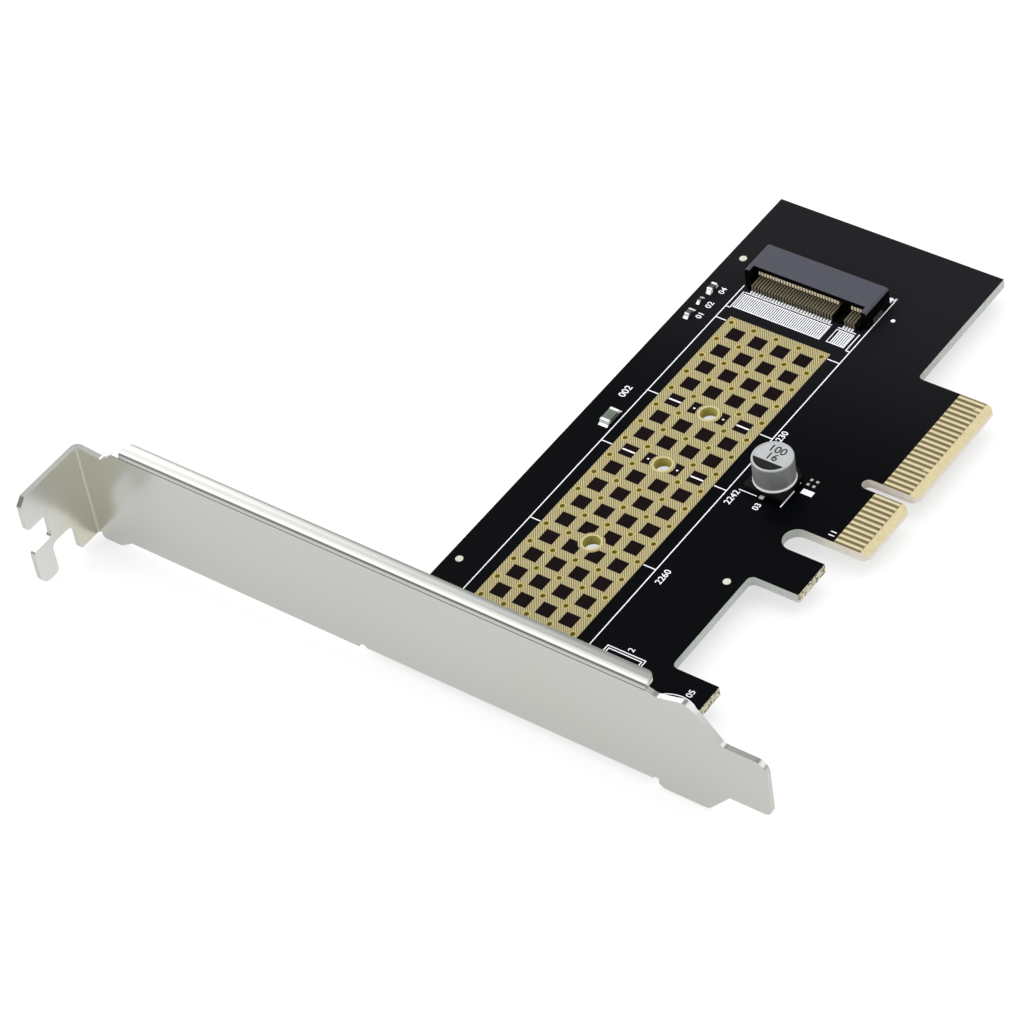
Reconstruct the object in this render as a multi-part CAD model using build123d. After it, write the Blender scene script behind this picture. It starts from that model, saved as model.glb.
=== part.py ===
from build123d import *
import os

# Adapter card that carries a small plug-in drive in an expansion slot of a server or computer.
# Millimetres. The origin is the middle of the key notch, on the contact edge of the board and
# on its component surface. +X runs away from the metal bracket, +Y from the contact edge to the
# far long edge, +Z up from the component surface.

# Circuit board
board_thickness = 1.6
board_end_x = 46.4
board_bracket_x = -57.2
board_far_y = 52.85
shoulder_y = 13.1
recess_y = 12.5
broken_edge_y = 4.5
bracket_tab_width = 14.2
hook_far_x = -23.2
hook_near_x = -16.35
small_block_x = -12.1
large_block_x = 22.15
hook_slot_end_y = 12.7
key_notch_width = 1.9
key_notch_end_y = 8.6
recess_corner_radius = 1.0
shoulder_corner_radius = 0.8
block_corner_chamfer = 0.7
edge_bevel_length = 1.3
edge_bevel_depth = 0.47
cut_overrun = 1.0
corner_reach = 0.01

# Flat copper: contacts on the board's edge and bare pads
copper_thickness = 0.1
contact_pitch = 1.0
contact_width = 0.7
contact_low_y = 1.4
short_contact_low_y = 2.4
contact_high_y = 5.7
first_contact_x = 1.5
small_block_contacts = 11
large_block_contacts = 21
front_short_contact_x = (6.5, 20.5)
back_short_contact_x = (-11.5,)
fiducial_diameter = 1.2
fiducial_sides = 12
fiducial_x = (-40.6, -25.87, 32.07)
fiducial_y = (50.9, 14.7, 50.4)
spare_pad_size = 0.42
spare_pad_pitch = 1.0
spare_pad_x = -3.65
spare_pad_y = 14.7

# Drive seat: the module's contact edge and the fixing hole of each module length
module_y = 36.0
module_edge_x = 31.23
module_lengths = (30.0, 42.0, 60.0, 80.0)
module_hole_diameter = 2.6
module_ring_diameter = 4.0
ring_hole_margin = 0.05
ring_sides = 16

# Heat grid: a copper field with square windows and small plated holes
grid_pitch = 4.0
grid_setback = 10.9
grid_via_rows = 19
grid_via_columns = 5
grid_end_margin = 1.1
grid_side_margin = 0.9
grid_window_size = 2.4
grid_via_diameter = 0.76
grid_via_sides = 6

# Bracket sheet
sheet = 0.86
bracket_gap = 0.99
bracket_length = 120.02
tab_face_y = 105.3
plate_top_z = 15.05
plate_tab_end_top_z = 13.4
plate_dip_y = 99.8
plate_dip_z = 12.9
plate_rise_y = 97.4
plate_dip_radius = 1.2
plate_low_z = -3.45
plate_end_low_z = -4.3
plate_tab_end_low_z = -5.0
plate_low_step_y = (3.3, 4.3)
plate_tab_step_y = (98.0, 100.5)
plate_step_radius = 0.8

# Shoulder and tongue at the bracket's lower end
hump_start_y = 2.3
hump_start_z = 14.5
hump_top_z = 15.8
hump_peak_y = -2.3
hump_fall_y = -4.2
hump_fall_z = 14.4
hump_radius = 1.6
hump_start_radius = 2.5
tongue_root_y = -7.9
tongue_width = 10.19
tongue_root_radius = 1.2
tongue_top_chamfer = 1.8
tongue_low_radius = 1.3
shoulder_low_y = -4.1
shoulder_low_radius = 1.5

# Flange folded over the board along the bracket's upper edge
flange_low_y = 3.9
flange_high_y = 96.0
flange_top_z = 16.0
flange_bend_radius = 0.95
flange_reach = 2.6
flange_corner_radius = 1.2
fold_lap = 1.0

# Tab folded away from the board, with its screw slot and locating finger
tab_bend_radius = 1.3
tab_far_x = -71.9
tab_low_z = -3.9
tab_corner_chamfer = 1.25
screw_slot_width = 4.42
screw_slot_centre_z = 5.1
screw_slot_depth = 4.15
screw_slot_corner_radius = 1.0
screw_slot_lip_radius = 0.7
finger_width = 3.65
finger_far_radius = 1.8
finger_near_radius = 0.8
arch_near_x = -63.3
arch_top_z = 1.5
arch_far_radius = 1.0
arch_near_radius = 1.8
tab_toe_radius = 0.6

# Lip folded under the board along the bracket's lower edge, with a notch past each end
lip_low_y = 5.2
lip_high_y = 54.3
lip_low_z = -3.75
lip_bend_radius = 0.96
lip_reach = 2.3
lip_low_notch_y = 4.0
lip_high_notch_y = 55.7
lip_notch_top_z = -2.65

# Ears that step up from the lip to the board's underside, and their screws
ear_length = 9.0
ear_low_y = (6.5, 43.1)
ear_end_x = -48.9
ear_corner_radius = 2.0
ear_step_share = 0.414
ear_hole_diameter = 3.1
screw_x = -53.2
screw_inset_y = (4.5, 5.1)
screw_shank_diameter = 2.9
screw_shank_end_z = -3.4
screw_board_hole_diameter = 3.3
screw_head_diameter = 5.5
screw_head_height = 1.9
screw_head_edge_height = 1.1
screw_recess_width = 0.8
screw_recess_length = 2.9
screw_recess_depth = 1.0
screw_shank_sides = 16
screw_head_sides = 24
screw_head_taper = 45.0

# Module socket, with its mouth towards the bracket
socket_height = 3.2
socket_arm_x = 27.4
socket_cover_x = 28.68
socket_rear_x = 33.8
socket_cover_thickness = 0.8
socket_end_wall = 0.9
socket_end_margin = 0.65
socket_rear_wall = 0.9
socket_block_x = 26.7
socket_block_height = 1.0
socket_block_setback = 0.15
socket_slit_height = 0.2
socket_edge_chamfer = 0.3
key_rib_margin = 0.4
key_rib_setback = 0.5
small_peg_diameter = 1.1
large_peg_diameter = 1.6
peg_x = 30.0
peg_inset = 1.2
peg_length = 1.4
peg_clearance = 0.1
peg_sides = 12

# Contacts of the module socket
socket_positions = 75
position_pitch = 0.25
key_first_position = 59
key_positions = 8
blade_width = 0.28
upper_tip_x = 29.0
upper_tip_length = 1.6
upper_tip_low_z = 1.3
upper_tip_high_z = 1.9
upper_riser_thickness = 0.2
upper_foot_reach = 0.8
foot_thickness = 0.15
lower_foot_reach = 0.65
lower_arm_end_x = 30.5
lower_tip_length = 0.5
lower_tip_rise = 0.1

# Metal hold-down tabs at the ends of the socket
hold_down_low_x = 29.0
hold_down_length = 2.4
hold_down_reach = 0.3
hold_down_foot_thickness = 0.15
hold_down_post_thickness = 0.2
hold_down_height = 0.8

# Upright capacitor
capacitor_x = -5.98
capacitor_y = 19.59
capacitor_lead_width = 0.7
capacitor_lead_thickness = 0.15
capacitor_lead_reach = 3.9
capacitor_lead_gap = 0.9
capacitor_base_size = 6.6
capacitor_base_thickness = 0.8
capacitor_base_chamfer = 1.3
capacitor_can_diameter = 6.3
capacitor_can_height = 4.35
capacitor_foot_flare = 0.12
capacitor_foot_height = 0.3
capacitor_rim_bevel = 0.35
capacitor_top_sink = 0.1

# Small chip parts: centre, length along X, width along Y, height and end length
link_led = (17.9, 50.75, 1.6, 0.8, 0.6, 0.35)
drive_led = (-6.35, 48.4, 3.2, 1.6, 0.75, 0.6)
resistor = (21.12, 50.87, 1.0, 0.5, 0.35, 0.22)
ceramic_capacitor = (24.08, 50.7, 1.6, 0.8, 0.75, 0.35)
end_cap_wrap = 0.03
led_terminal_height = 0.25
led_lens_inset = 0.12
led_lens_taper = 4.0
solder_reach = 0.4
solder_height_share = 0.75

# Sizes that follow from those above
bracket_inner_x = board_bracket_x - bracket_gap
bracket_face_x = bracket_inner_x - sheet
tongue_end_y = tab_face_y - bracket_length
module_hole_x = [module_edge_x - length for length in module_lengths]
grid_start_x = module_edge_x - grid_setback
grid_via_x = [grid_start_x - grid_end_margin - grid_pitch * row for row in range(grid_via_rows)]
grid_side_columns = (grid_via_columns - 1) / 2
grid_via_y = [module_y + grid_pitch * (column - grid_side_columns) for column in range(grid_via_columns)]
grid_end_x = grid_via_x[-1] - grid_end_margin
grid_half_width = grid_pitch * grid_side_columns + grid_side_margin
screw_y = [low + inset for low, inset in zip(ear_low_y, screw_inset_y)]
socket_half_span = (socket_positions - 1) * position_pitch / 2
socket_half_width = socket_half_span + socket_end_margin + socket_end_wall
socket_low_y = module_y - socket_half_width
socket_high_y = module_y + socket_half_width
peg_offset = socket_half_width - peg_inset
socket_ceiling_z = socket_height - socket_cover_thickness
socket_cavity_rear_x = socket_rear_x - socket_rear_wall
centre_position = (socket_positions + 1) / 2
key_last_position = key_first_position + key_positions - 1
key_middle_position = (key_first_position + key_last_position) / 2
key_rib_half_width = key_positions * position_pitch / 2 - key_rib_margin
key_rib_y = module_y - (key_middle_position - centre_position) * position_pitch


def box_between(x_low, x_high, y_low, y_high, z_low, z_high):
    """A block between two corners."""
    block = Box(x_high - x_low, y_high - y_low, z_high - z_low, align=Align.MIN)
    return Pos(x_low, y_low, z_low) * block


def plan_solid(sketch, z_low, z_high):
    """A plan outline raised from one height to another."""
    return Pos(0, 0, z_low) * extrude(sketch, z_high - z_low)


def side_solid(points, x_low, x_high):
    """An outline in Y and Z, run along X."""
    face = Plane.YZ * make_face(Polyline(*points, close=True))
    return Pos(x_low, 0, 0) * extrude(face, x_high - x_low)


def end_solid(points, y_low, y_high):
    """An outline in X and Z, run along +Y."""
    section_plane = Plane(origin=(0, 0, 0), x_dir=(1, 0, 0), z_dir=(0, -1, 0))
    face = section_plane * make_face(Polyline(*points, close=True))
    return Pos(0, y_high, 0) * extrude(face, y_high - y_low)


def corners_at(shape, places):
    """The corners of a flat outline that lie at the given places."""
    wanted = [Vector(*place) for place in places]
    return [v for v in shape.vertices() if min((Vector(v) - w).length for w in wanted) < corner_reach]


def rounded_outline(points, roundings):
    """A closed outline with some corners rounded: each rounding is a place and a radius."""
    outline = make_face(Polyline(*points, close=True))
    for place, radius in roundings:
        outline = fillet(corners_at(outline, [place]), radius)
    return outline


def blind_slot(x_middle, width, end_y):
    """A slot from the contact edge with a fully rounded blind end."""
    arc_y = end_y - width / 2
    straight = Pos(x_middle, (arc_y - cut_overrun) / 2) * Rectangle(width, arc_y + cut_overrun)
    return straight + Pos(x_middle, arc_y) * Circle(width / 2)


def peg_section(diameter, clearance):
    """The section of a socket peg, or of its hole with some clearance all round."""
    return RegularPolygon(diameter / 2 + clearance, peg_sides)


def board_outline():
    """The board in plan, with its contact blocks, hook, bracket tab and recess."""
    hook_slot_x = (hook_near_x + small_block_x) / 2
    tab_end_x = board_bracket_x + bracket_tab_width
    outline = rounded_outline(
        [
            (board_bracket_x, broken_edge_y),
            (tab_end_x, broken_edge_y),
            (tab_end_x, recess_y),
            (hook_far_x, recess_y),
            (hook_far_x, broken_edge_y),
            (hook_slot_x, broken_edge_y),
            (hook_slot_x, 0),
            (large_block_x, 0),
            (large_block_x, shoulder_y),
            (board_end_x, shoulder_y),
            (board_end_x, board_far_y),
            (board_bracket_x, board_far_y),
        ],
        [
            ((tab_end_x, recess_y), recess_corner_radius),
            ((hook_far_x, recess_y), recess_corner_radius),
            ((large_block_x, shoulder_y), shoulder_corner_radius),
        ],
    )
    outline -= blind_slot(hook_slot_x, small_block_x - hook_near_x, hook_slot_end_y)
    outline -= blind_slot(0, key_notch_width, key_notch_end_y)
    block_corner_x = (small_block_x, -key_notch_width / 2, key_notch_width / 2, large_block_x)
    block_corners = corners_at(outline, [(x, 0) for x in block_corner_x])
    return chamfer(block_corners, block_corner_chamfer)


def circuit_board():
    """The bare board: outline, bevelled contact edge and drilled holes."""
    outline = board_outline()
    outline -= [Pos(x, module_y) * Circle(module_hole_diameter / 2) for x in module_hole_x]
    screw_hole = RegularPolygon(screw_board_hole_diameter / 2, screw_shank_sides)
    outline -= [Pos(screw_x, y) * screw_hole for y in screw_y]
    outline -= Pos(peg_x, module_y + peg_offset) * peg_section(small_peg_diameter, peg_clearance)
    outline -= Pos(peg_x, module_y - peg_offset) * peg_section(large_peg_diameter, peg_clearance)
    board = plan_solid(outline, -board_thickness, 0)
    bevel_from = small_block_x - cut_overrun
    bevel_to = large_block_x + cut_overrun
    bevel = [(0, 0), (edge_bevel_length, 0), (0, -edge_bevel_depth)]
    under_bevel = [(y, -board_thickness - z) for y, z in bevel]
    board -= side_solid(bevel, bevel_from, bevel_to)
    board -= side_solid(under_bevel, bevel_from, bevel_to)
    return board


def edge_contacts(z_low, short_x):
    """One face's row of contacts beside the key notch, some of them shorter at the edge."""
    contacts = []
    places = [-first_contact_x - contact_pitch * step for step in range(small_block_contacts)]
    places += [first_contact_x + contact_pitch * step for step in range(large_block_contacts)]
    for x in places:
        left = x - contact_width / 2
        right = x + contact_width / 2
        low_y = short_contact_low_y if x in short_x else contact_low_y
        contacts.append(box_between(left, right, low_y, contact_high_y, z_low, z_low + copper_thickness))
    return contacts


def heat_grid():
    """The copper field under the drive: windows, plated holes and the rings of the fixing holes."""
    middle_x = (grid_start_x + grid_end_x) / 2
    field = Pos(middle_x, module_y) * Rectangle(grid_start_x - grid_end_x, 2 * grid_half_width)
    window_x = [x - grid_pitch / 2 for x in grid_via_x[:-1]]
    window_y = [y + grid_pitch / 2 for y in grid_via_y[:-1]]
    window = Rectangle(grid_window_size, grid_window_size)
    field -= [Pos(x, y) * window for x in window_x for y in window_y]
    ring_radius = module_ring_diameter / 2
    ring = RegularPolygon(ring_radius, ring_sides)
    ring_hole = RegularPolygon(
        module_hole_diameter / 2 + ring_hole_margin, ring_sides, major_radius=False
    )
    rings_on_grid = [x for x in module_hole_x if grid_end_x < x < grid_start_x]
    field += [Pos(x, module_y) * ring for x in rings_on_grid]
    field -= [Pos(x, module_y) * ring_hole for x in rings_on_grid]
    via = RegularPolygon(grid_via_diameter / 2, grid_via_sides)
    vias = []
    for x in grid_via_x:
        for y in grid_via_y:
            nearest = min(Vector(x - hole_x, y - module_y).length for hole_x in rings_on_grid)
            if nearest > ring_radius:
                vias.append(Pos(x, y) * via)
    field -= vias
    return plan_solid(field, 0, copper_thickness)


def plate_outline():
    """The bracket's plate seen from its outer face, in Y and Z, from the tab to the tongue."""
    end_step_low_y, end_step_high_y = plate_low_step_y
    tab_step_low_y, tab_step_high_y = plate_tab_step_y
    hump_peak = (hump_peak_y, hump_top_z)
    hump_start = (hump_start_y, hump_start_z)
    dip = (plate_dip_y, plate_dip_z)
    tab_root_y = tab_face_y - tab_bend_radius
    tongue_root = (tongue_root_y, tongue_width)
    return rounded_outline(
        [
            (tongue_end_y, 0),
            (tongue_root_y, 0),
            (shoulder_low_y, plate_end_low_z),
            (end_step_low_y, plate_end_low_z),
            (end_step_high_y, plate_low_z),
            (tab_step_low_y, plate_low_z),
            (tab_step_high_y, plate_tab_end_low_z),
            (tab_root_y, plate_tab_end_low_z),
            (tab_root_y, tab_low_z),
            (tab_face_y, tab_low_z),
            (tab_face_y, plate_tab_end_top_z),
            dip,
            (plate_rise_y, plate_top_z),
            (flange_low_y, plate_top_z),
            hump_start,
            hump_peak,
            (hump_fall_y, hump_fall_z),
            tongue_root,
            (tongue_end_y, tongue_width),
        ],
        [
            ((tongue_end_y, 0), tongue_low_radius),
            ((shoulder_low_y, plate_end_low_z), shoulder_low_radius),
            ((tab_step_high_y, plate_tab_end_low_z), plate_step_radius),
            ((tab_root_y, plate_tab_end_low_z), plate_step_radius),
            (dip, plate_dip_radius),
            (hump_start, hump_start_radius),
            (hump_peak, hump_radius),
            (tongue_root, tongue_root_radius),
            ((tongue_end_y, tongue_width), tongue_top_chamfer),
        ],
    )


def tab_outline():
    """The bent tab seen along Y, in X and Z, with its open screw slot, finger and arch."""
    finger_near_x = tab_far_x + finger_width
    slot_low_z = screw_slot_centre_z - screw_slot_width / 2
    slot_high_z = screw_slot_centre_z + screw_slot_width / 2
    slot_end_x = tab_far_x + screw_slot_depth
    outline = rounded_outline(
        [
            (tab_far_x, tab_low_z),
            (finger_near_x, tab_low_z),
            (finger_near_x, arch_top_z),
            (arch_near_x, arch_top_z),
            (arch_near_x, tab_low_z),
            (board_bracket_x, tab_low_z),
            (board_bracket_x, plate_tab_end_top_z),
            (tab_far_x, plate_tab_end_top_z),
            (tab_far_x, slot_high_z),
            (slot_end_x, slot_high_z),
            (slot_end_x, slot_low_z),
            (tab_far_x, slot_low_z),
        ],
        [
            ((tab_far_x, tab_low_z), finger_far_radius),
            ((finger_near_x, tab_low_z), finger_near_radius),
            ((finger_near_x, arch_top_z), arch_far_radius),
            ((arch_near_x, arch_top_z), arch_near_radius),
            ((arch_near_x, tab_low_z), tab_toe_radius),
            ((slot_end_x, slot_high_z), screw_slot_corner_radius),
            ((slot_end_x, slot_low_z), screw_slot_corner_radius),
            ((tab_far_x, slot_high_z), screw_slot_lip_radius),
            ((tab_far_x, slot_low_z), screw_slot_lip_radius),
        ],
    )
    return chamfer(corners_at(outline, [(tab_far_x, plate_tab_end_top_z)]), tab_corner_chamfer)


def bent_strip():
    """The sheet in plan before its outline is cut: the plate, the bend and the tab."""
    tab_inner_y = tab_face_y - sheet
    outer_corner = (bracket_inner_x, tab_face_y)
    inner_corner = (bracket_face_x, tab_inner_y)
    section = rounded_outline(
        [
            (bracket_face_x, tongue_end_y),
            (bracket_inner_x, tongue_end_y),
            outer_corner,
            (tab_far_x, tab_face_y),
            (tab_far_x, tab_inner_y),
            inner_corner,
        ],
        [(outer_corner, tab_bend_radius), (inner_corner, tab_bend_radius - sheet)],
    )
    return plan_solid(section, plate_tab_end_low_z, hump_top_z)


def fold(points, outer_corner, inner_corner, radius, y_low, y_high):
    """A strip folded out of the plate, from an angle section in X and Z run along Y."""
    section = rounded_outline(points, [(outer_corner, radius), (inner_corner, radius - sheet)])
    section_plane = Plane(origin=(0, y_high, 0), x_dir=(1, 0, 0), z_dir=(0, -1, 0))
    return extrude(section_plane * section, y_high - y_low)


def flange():
    """The upper edge folded over the board."""
    root_z = plate_top_z - fold_lap
    edge_x = bracket_face_x + flange_reach
    outer_corner = (bracket_face_x, flange_top_z)
    inner_corner = (bracket_inner_x, flange_top_z - sheet)
    points = [
        (bracket_face_x, root_z),
        (bracket_inner_x, root_z),
        inner_corner,
        (edge_x, flange_top_z - sheet),
        (edge_x, flange_top_z),
        outer_corner,
    ]
    strip = fold(points, outer_corner, inner_corner, flange_bend_radius, flange_low_y, flange_high_y)
    return fillet(strip.edges().filter_by(Axis.Z).group_by(Axis.X)[-1], flange_corner_radius)


def lip():
    """The lower edge folded under the board."""
    root_z = lip_low_z + lip_bend_radius + fold_lap
    edge_x = bracket_face_x + lip_reach
    outer_corner = (bracket_face_x, lip_low_z)
    inner_corner = (bracket_inner_x, lip_low_z + sheet)
    points = [
        (bracket_face_x, root_z),
        outer_corner,
        (edge_x, lip_low_z),
        (edge_x, lip_low_z + sheet),
        inner_corner,
        (bracket_inner_x, root_z),
    ]
    return fold(points, outer_corner, inner_corner, lip_bend_radius, lip_low_y, lip_high_y)


def ear(low_y, hole_y):
    """One ear stepped up from the lip, with rounded corners and its screw hole."""
    low_z = -board_thickness - sheet
    step_x = bracket_face_x + lip_reach
    step_height = low_z - lip_low_z
    upper_step_x = step_x - ear_step_share * sheet
    leaf = end_solid(
        [
            (bracket_inner_x, lip_low_z),
            (step_x, lip_low_z),
            (step_x + step_height, low_z),
            (ear_end_x, low_z),
            (ear_end_x, -board_thickness),
            (upper_step_x + step_height, -board_thickness),
            (upper_step_x, lip_low_z + sheet),
            (bracket_inner_x, lip_low_z + sheet),
        ],
        low_y,
        low_y + ear_length,
    )
    leaf = fillet(leaf.edges().filter_by(Axis.Z).group_by(Axis.X)[-1], ear_corner_radius)
    hole = plan_solid(RegularPolygon(ear_hole_diameter / 2, screw_shank_sides), low_z - sheet, sheet)
    return leaf - Pos(screw_x, hole_y, 0) * hole


def bracket():
    """The expansion bracket, cut and folded from one sheet."""
    plate_prism = extrude(Plane.YZ * plate_outline(), board_bracket_x - tab_far_x, both=True)
    plate_prism = Pos(board_bracket_x, 0, 0) * plate_prism
    tab_plane = Plane(origin=(0, tab_face_y, 0), x_dir=(1, 0, 0), z_dir=(0, -1, 0))
    tab_prism = extrude(tab_plane * tab_outline(), tab_bend_radius)
    rest_prism = box_between(
        bracket_face_x,
        board_bracket_x,
        tongue_end_y,
        tab_face_y - tab_bend_radius,
        plate_tab_end_low_z,
        hump_top_z,
    )
    body = bent_strip() & plate_prism & (tab_prism + rest_prism)
    body -= box_between(
        bracket_face_x,
        bracket_inner_x,
        lip_low_notch_y,
        lip_high_notch_y,
        plate_tab_end_low_z,
        lip_notch_top_z,
    )
    body += lip()
    for low_y, hole_y in zip(ear_low_y, screw_y):
        body += ear(low_y, hole_y)
    return body + flange()


def bracket_screws():
    """Two pan head screws with cross recesses, from the component side into the ears."""
    shank = RegularPolygon(screw_shank_diameter / 2, screw_shank_sides)
    head = RegularPolygon(screw_head_diameter / 2, screw_head_sides)
    crown_height = screw_head_height - screw_head_edge_height
    screw = plan_solid(shank, screw_shank_end_z, 0) + plan_solid(head, 0, screw_head_edge_height)
    screw += Pos(0, 0, screw_head_edge_height) * extrude(head, crown_height, taper=screw_head_taper)
    cross = Rectangle(screw_recess_length, screw_recess_width)
    cross += Rectangle(screw_recess_width, screw_recess_length)
    screw -= plan_solid(cross, screw_head_height - screw_recess_depth, screw_head_height)
    return [Pos(screw_x, y, 0) * screw for y in screw_y]


def socket_housing():
    """The moulded socket: cover, end walls, rear wall, contact block, key rib and pegs."""
    inner_low_y = socket_low_y + socket_end_wall
    inner_high_y = socket_high_y - socket_end_wall
    housing = box_between(socket_arm_x, socket_rear_x, socket_low_y, socket_high_y, 0, socket_height)
    top_edges = housing.edges().group_by(Axis.Z)[-1].filter_by(Axis.X)
    housing = chamfer(top_edges, socket_edge_chamfer)
    housing -= box_between(
        socket_arm_x, socket_cavity_rear_x, inner_low_y, inner_high_y, socket_block_height, socket_ceiling_z
    )
    housing -= box_between(
        socket_arm_x, socket_cover_x, inner_low_y, inner_high_y, 0, socket_height
    )
    housing += box_between(
        socket_block_x,
        socket_cavity_rear_x,
        inner_low_y - socket_block_setback,
        inner_high_y + socket_block_setback,
        0,
        socket_block_height,
    )
    key_low_y = key_rib_y - key_rib_half_width
    key_high_y = key_rib_y + key_rib_half_width
    housing -= box_between(
        socket_block_x, socket_cover_x, key_low_y, key_high_y, foot_thickness, socket_block_height
    )
    housing += box_between(
        socket_cover_x + key_rib_setback,
        socket_cavity_rear_x,
        key_low_y,
        key_high_y,
        socket_block_height,
        socket_ceiling_z,
    )
    housing -= box_between(
        socket_cavity_rear_x,
        socket_rear_x,
        inner_low_y,
        inner_high_y,
        socket_ceiling_z - socket_slit_height,
        socket_ceiling_z,
    )
    small_peg = plan_solid(peg_section(small_peg_diameter, 0), -peg_length, 0)
    large_peg = plan_solid(peg_section(large_peg_diameter, 0), -peg_length, 0)
    housing += Pos(peg_x, module_y + peg_offset, 0) * small_peg
    housing += Pos(peg_x, module_y - peg_offset, 0) * large_peg
    return housing


def socket_places(first_position):
    """The Y places of every second position of the socket, without those of the key."""
    positions = range(first_position, socket_positions + 1, 2)
    filled = [n for n in positions if not key_first_position <= n <= key_last_position]
    return [module_y - (n - centre_position) * position_pitch for n in filled]


def socket_contacts_upper():
    """Blades under the cover, each with a bent tip, a riser behind the rear wall and a foot."""
    arm_low_z = socket_ceiling_z - socket_slit_height
    riser_x = socket_rear_x + upper_riser_thickness
    blade = [
        (upper_tip_x, upper_tip_high_z),
        (upper_tip_x, upper_tip_low_z),
        (upper_tip_x + upper_tip_length, arm_low_z),
        (socket_rear_x, arm_low_z),
        (socket_rear_x, 0),
        (riser_x + upper_foot_reach, 0),
        (riser_x + upper_foot_reach, foot_thickness),
        (riser_x, foot_thickness),
        (riser_x, socket_ceiling_z),
        (upper_tip_x + upper_tip_length, socket_ceiling_z),
    ]
    places = socket_places(1)
    return [end_solid(blade, y - blade_width / 2, y + blade_width / 2) for y in places]


def socket_contacts_lower():
    """Blades over the contact block, each with a foot in front of it and a raised tip."""
    riser_x = socket_block_x - foot_thickness
    arm_top_z = socket_block_height + foot_thickness
    blade = [
        (riser_x - lower_foot_reach, 0),
        (socket_block_x, 0),
        (socket_block_x, socket_block_height),
        (lower_arm_end_x, socket_block_height),
        (lower_arm_end_x - lower_tip_length, arm_top_z + lower_tip_rise),
        (riser_x, arm_top_z),
        (riser_x, foot_thickness),
        (riser_x - lower_foot_reach, foot_thickness),
    ]
    places = socket_places(2)
    return [end_solid(blade, y - blade_width / 2, y + blade_width / 2) for y in places]


def socket_hold_downs():
    """A small metal tab against each end wall, with its foot on the board."""
    tabs = []
    far_x = hold_down_low_x + hold_down_length
    for wall_y, outward in ((socket_low_y, -1), (socket_high_y, 1)):
        foot_y = wall_y + outward * hold_down_reach
        post_y = wall_y + outward * hold_down_post_thickness
        foot = box_between(
            hold_down_low_x, far_x, min(wall_y, foot_y), max(wall_y, foot_y), 0, hold_down_foot_thickness
        )
        post = box_between(
            hold_down_low_x, far_x, min(wall_y, post_y), max(wall_y, post_y), 0, hold_down_height
        )
        tabs.append(foot + post)
    return tabs


def capacitor_terminals():
    """Two flat leads along X under the capacitor's base."""
    leads = []
    low_y = capacitor_y - capacitor_lead_width / 2
    high_y = capacitor_y + capacitor_lead_width / 2
    for outward in (-1, 1):
        inner_x = capacitor_x + outward * capacitor_lead_gap
        outer_x = capacitor_x + outward * capacitor_lead_reach
        leads.append(
            box_between(
                min(inner_x, outer_x), max(inner_x, outer_x), low_y, high_y, 0, capacitor_lead_thickness
            )
        )
    return leads


def capacitor_base():
    """The square moulded base, with two chamfered corners on its +X side."""
    half = capacitor_base_size / 2
    outline = Pos(capacitor_x, capacitor_y) * Rectangle(capacitor_base_size, capacitor_base_size)
    marked_corners = [(capacitor_x + half, capacitor_y - half), (capacitor_x + half, capacitor_y + half)]
    outline = chamfer(corners_at(outline, marked_corners), capacitor_base_chamfer)
    low_z = capacitor_lead_thickness
    return plan_solid(outline, low_z, low_z + capacitor_base_thickness)


def capacitor_can():
    """The drawn can: flared foot, straight wall, bevelled rim and slightly sunken top."""
    radius = capacitor_can_diameter / 2
    top = capacitor_can_height
    profile = Polyline(
        (0, 0),
        (radius + capacitor_foot_flare, 0),
        (radius, capacitor_foot_height),
        (radius, top - capacitor_rim_bevel),
        (radius - capacitor_rim_bevel, top),
        (radius - 2 * capacitor_rim_bevel, top - capacitor_top_sink),
        (0, top - capacitor_top_sink),
        close=True,
    )
    can = revolve(Plane.XZ * make_face(profile), Axis.Z)
    return Pos(capacitor_x, capacitor_y, capacitor_lead_thickness + capacitor_base_thickness) * can


def chip_body(chip):
    """The middle of a chip part, between its two metal ends."""
    x, y, length, width, height, end_length = chip
    half_body = length / 2 - end_length
    return box_between(x - half_body, x + half_body, y - width / 2, y + width / 2, 0, height)


def chip_ends(chip):
    """The two metal ends of a chip part, a little larger than its body."""
    x, y, length, width, height, end_length = chip
    half_width = width / 2 + end_cap_wrap
    half_body = length / 2 - end_length
    top = height + end_cap_wrap
    near = box_between(x - length / 2, x - half_body, y - half_width, y + half_width, 0, top)
    far = box_between(x + half_body, x + length / 2, y - half_width, y + half_width, 0, top)
    return [near, far]


def led_body(chip):
    """A lamp's moulded body: a tapered lens on a low base between its terminals."""
    x, y, length, width, height, end_length = chip
    base = box_between(
        x - length / 2 + end_length,
        x + length / 2 - end_length,
        y - width / 2,
        y + width / 2,
        0,
        led_terminal_height,
    )
    lens_outline = Rectangle(length - 2 * led_lens_inset, width)
    lens = extrude(lens_outline, height - led_terminal_height, taper=led_lens_taper)
    return base + Pos(x, y, led_terminal_height) * lens


def led_terminals(chip):
    """The two low metal ends of a lamp, under the ends of its lens."""
    x, y, length, width, height, end_length = chip
    half_body = length / 2 - end_length
    near = box_between(
        x - length / 2, x - half_body, y - width / 2, y + width / 2, 0, led_terminal_height
    )
    far = box_between(
        x + half_body, x + length / 2, y - width / 2, y + width / 2, 0, led_terminal_height
    )
    return [near, far]


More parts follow.
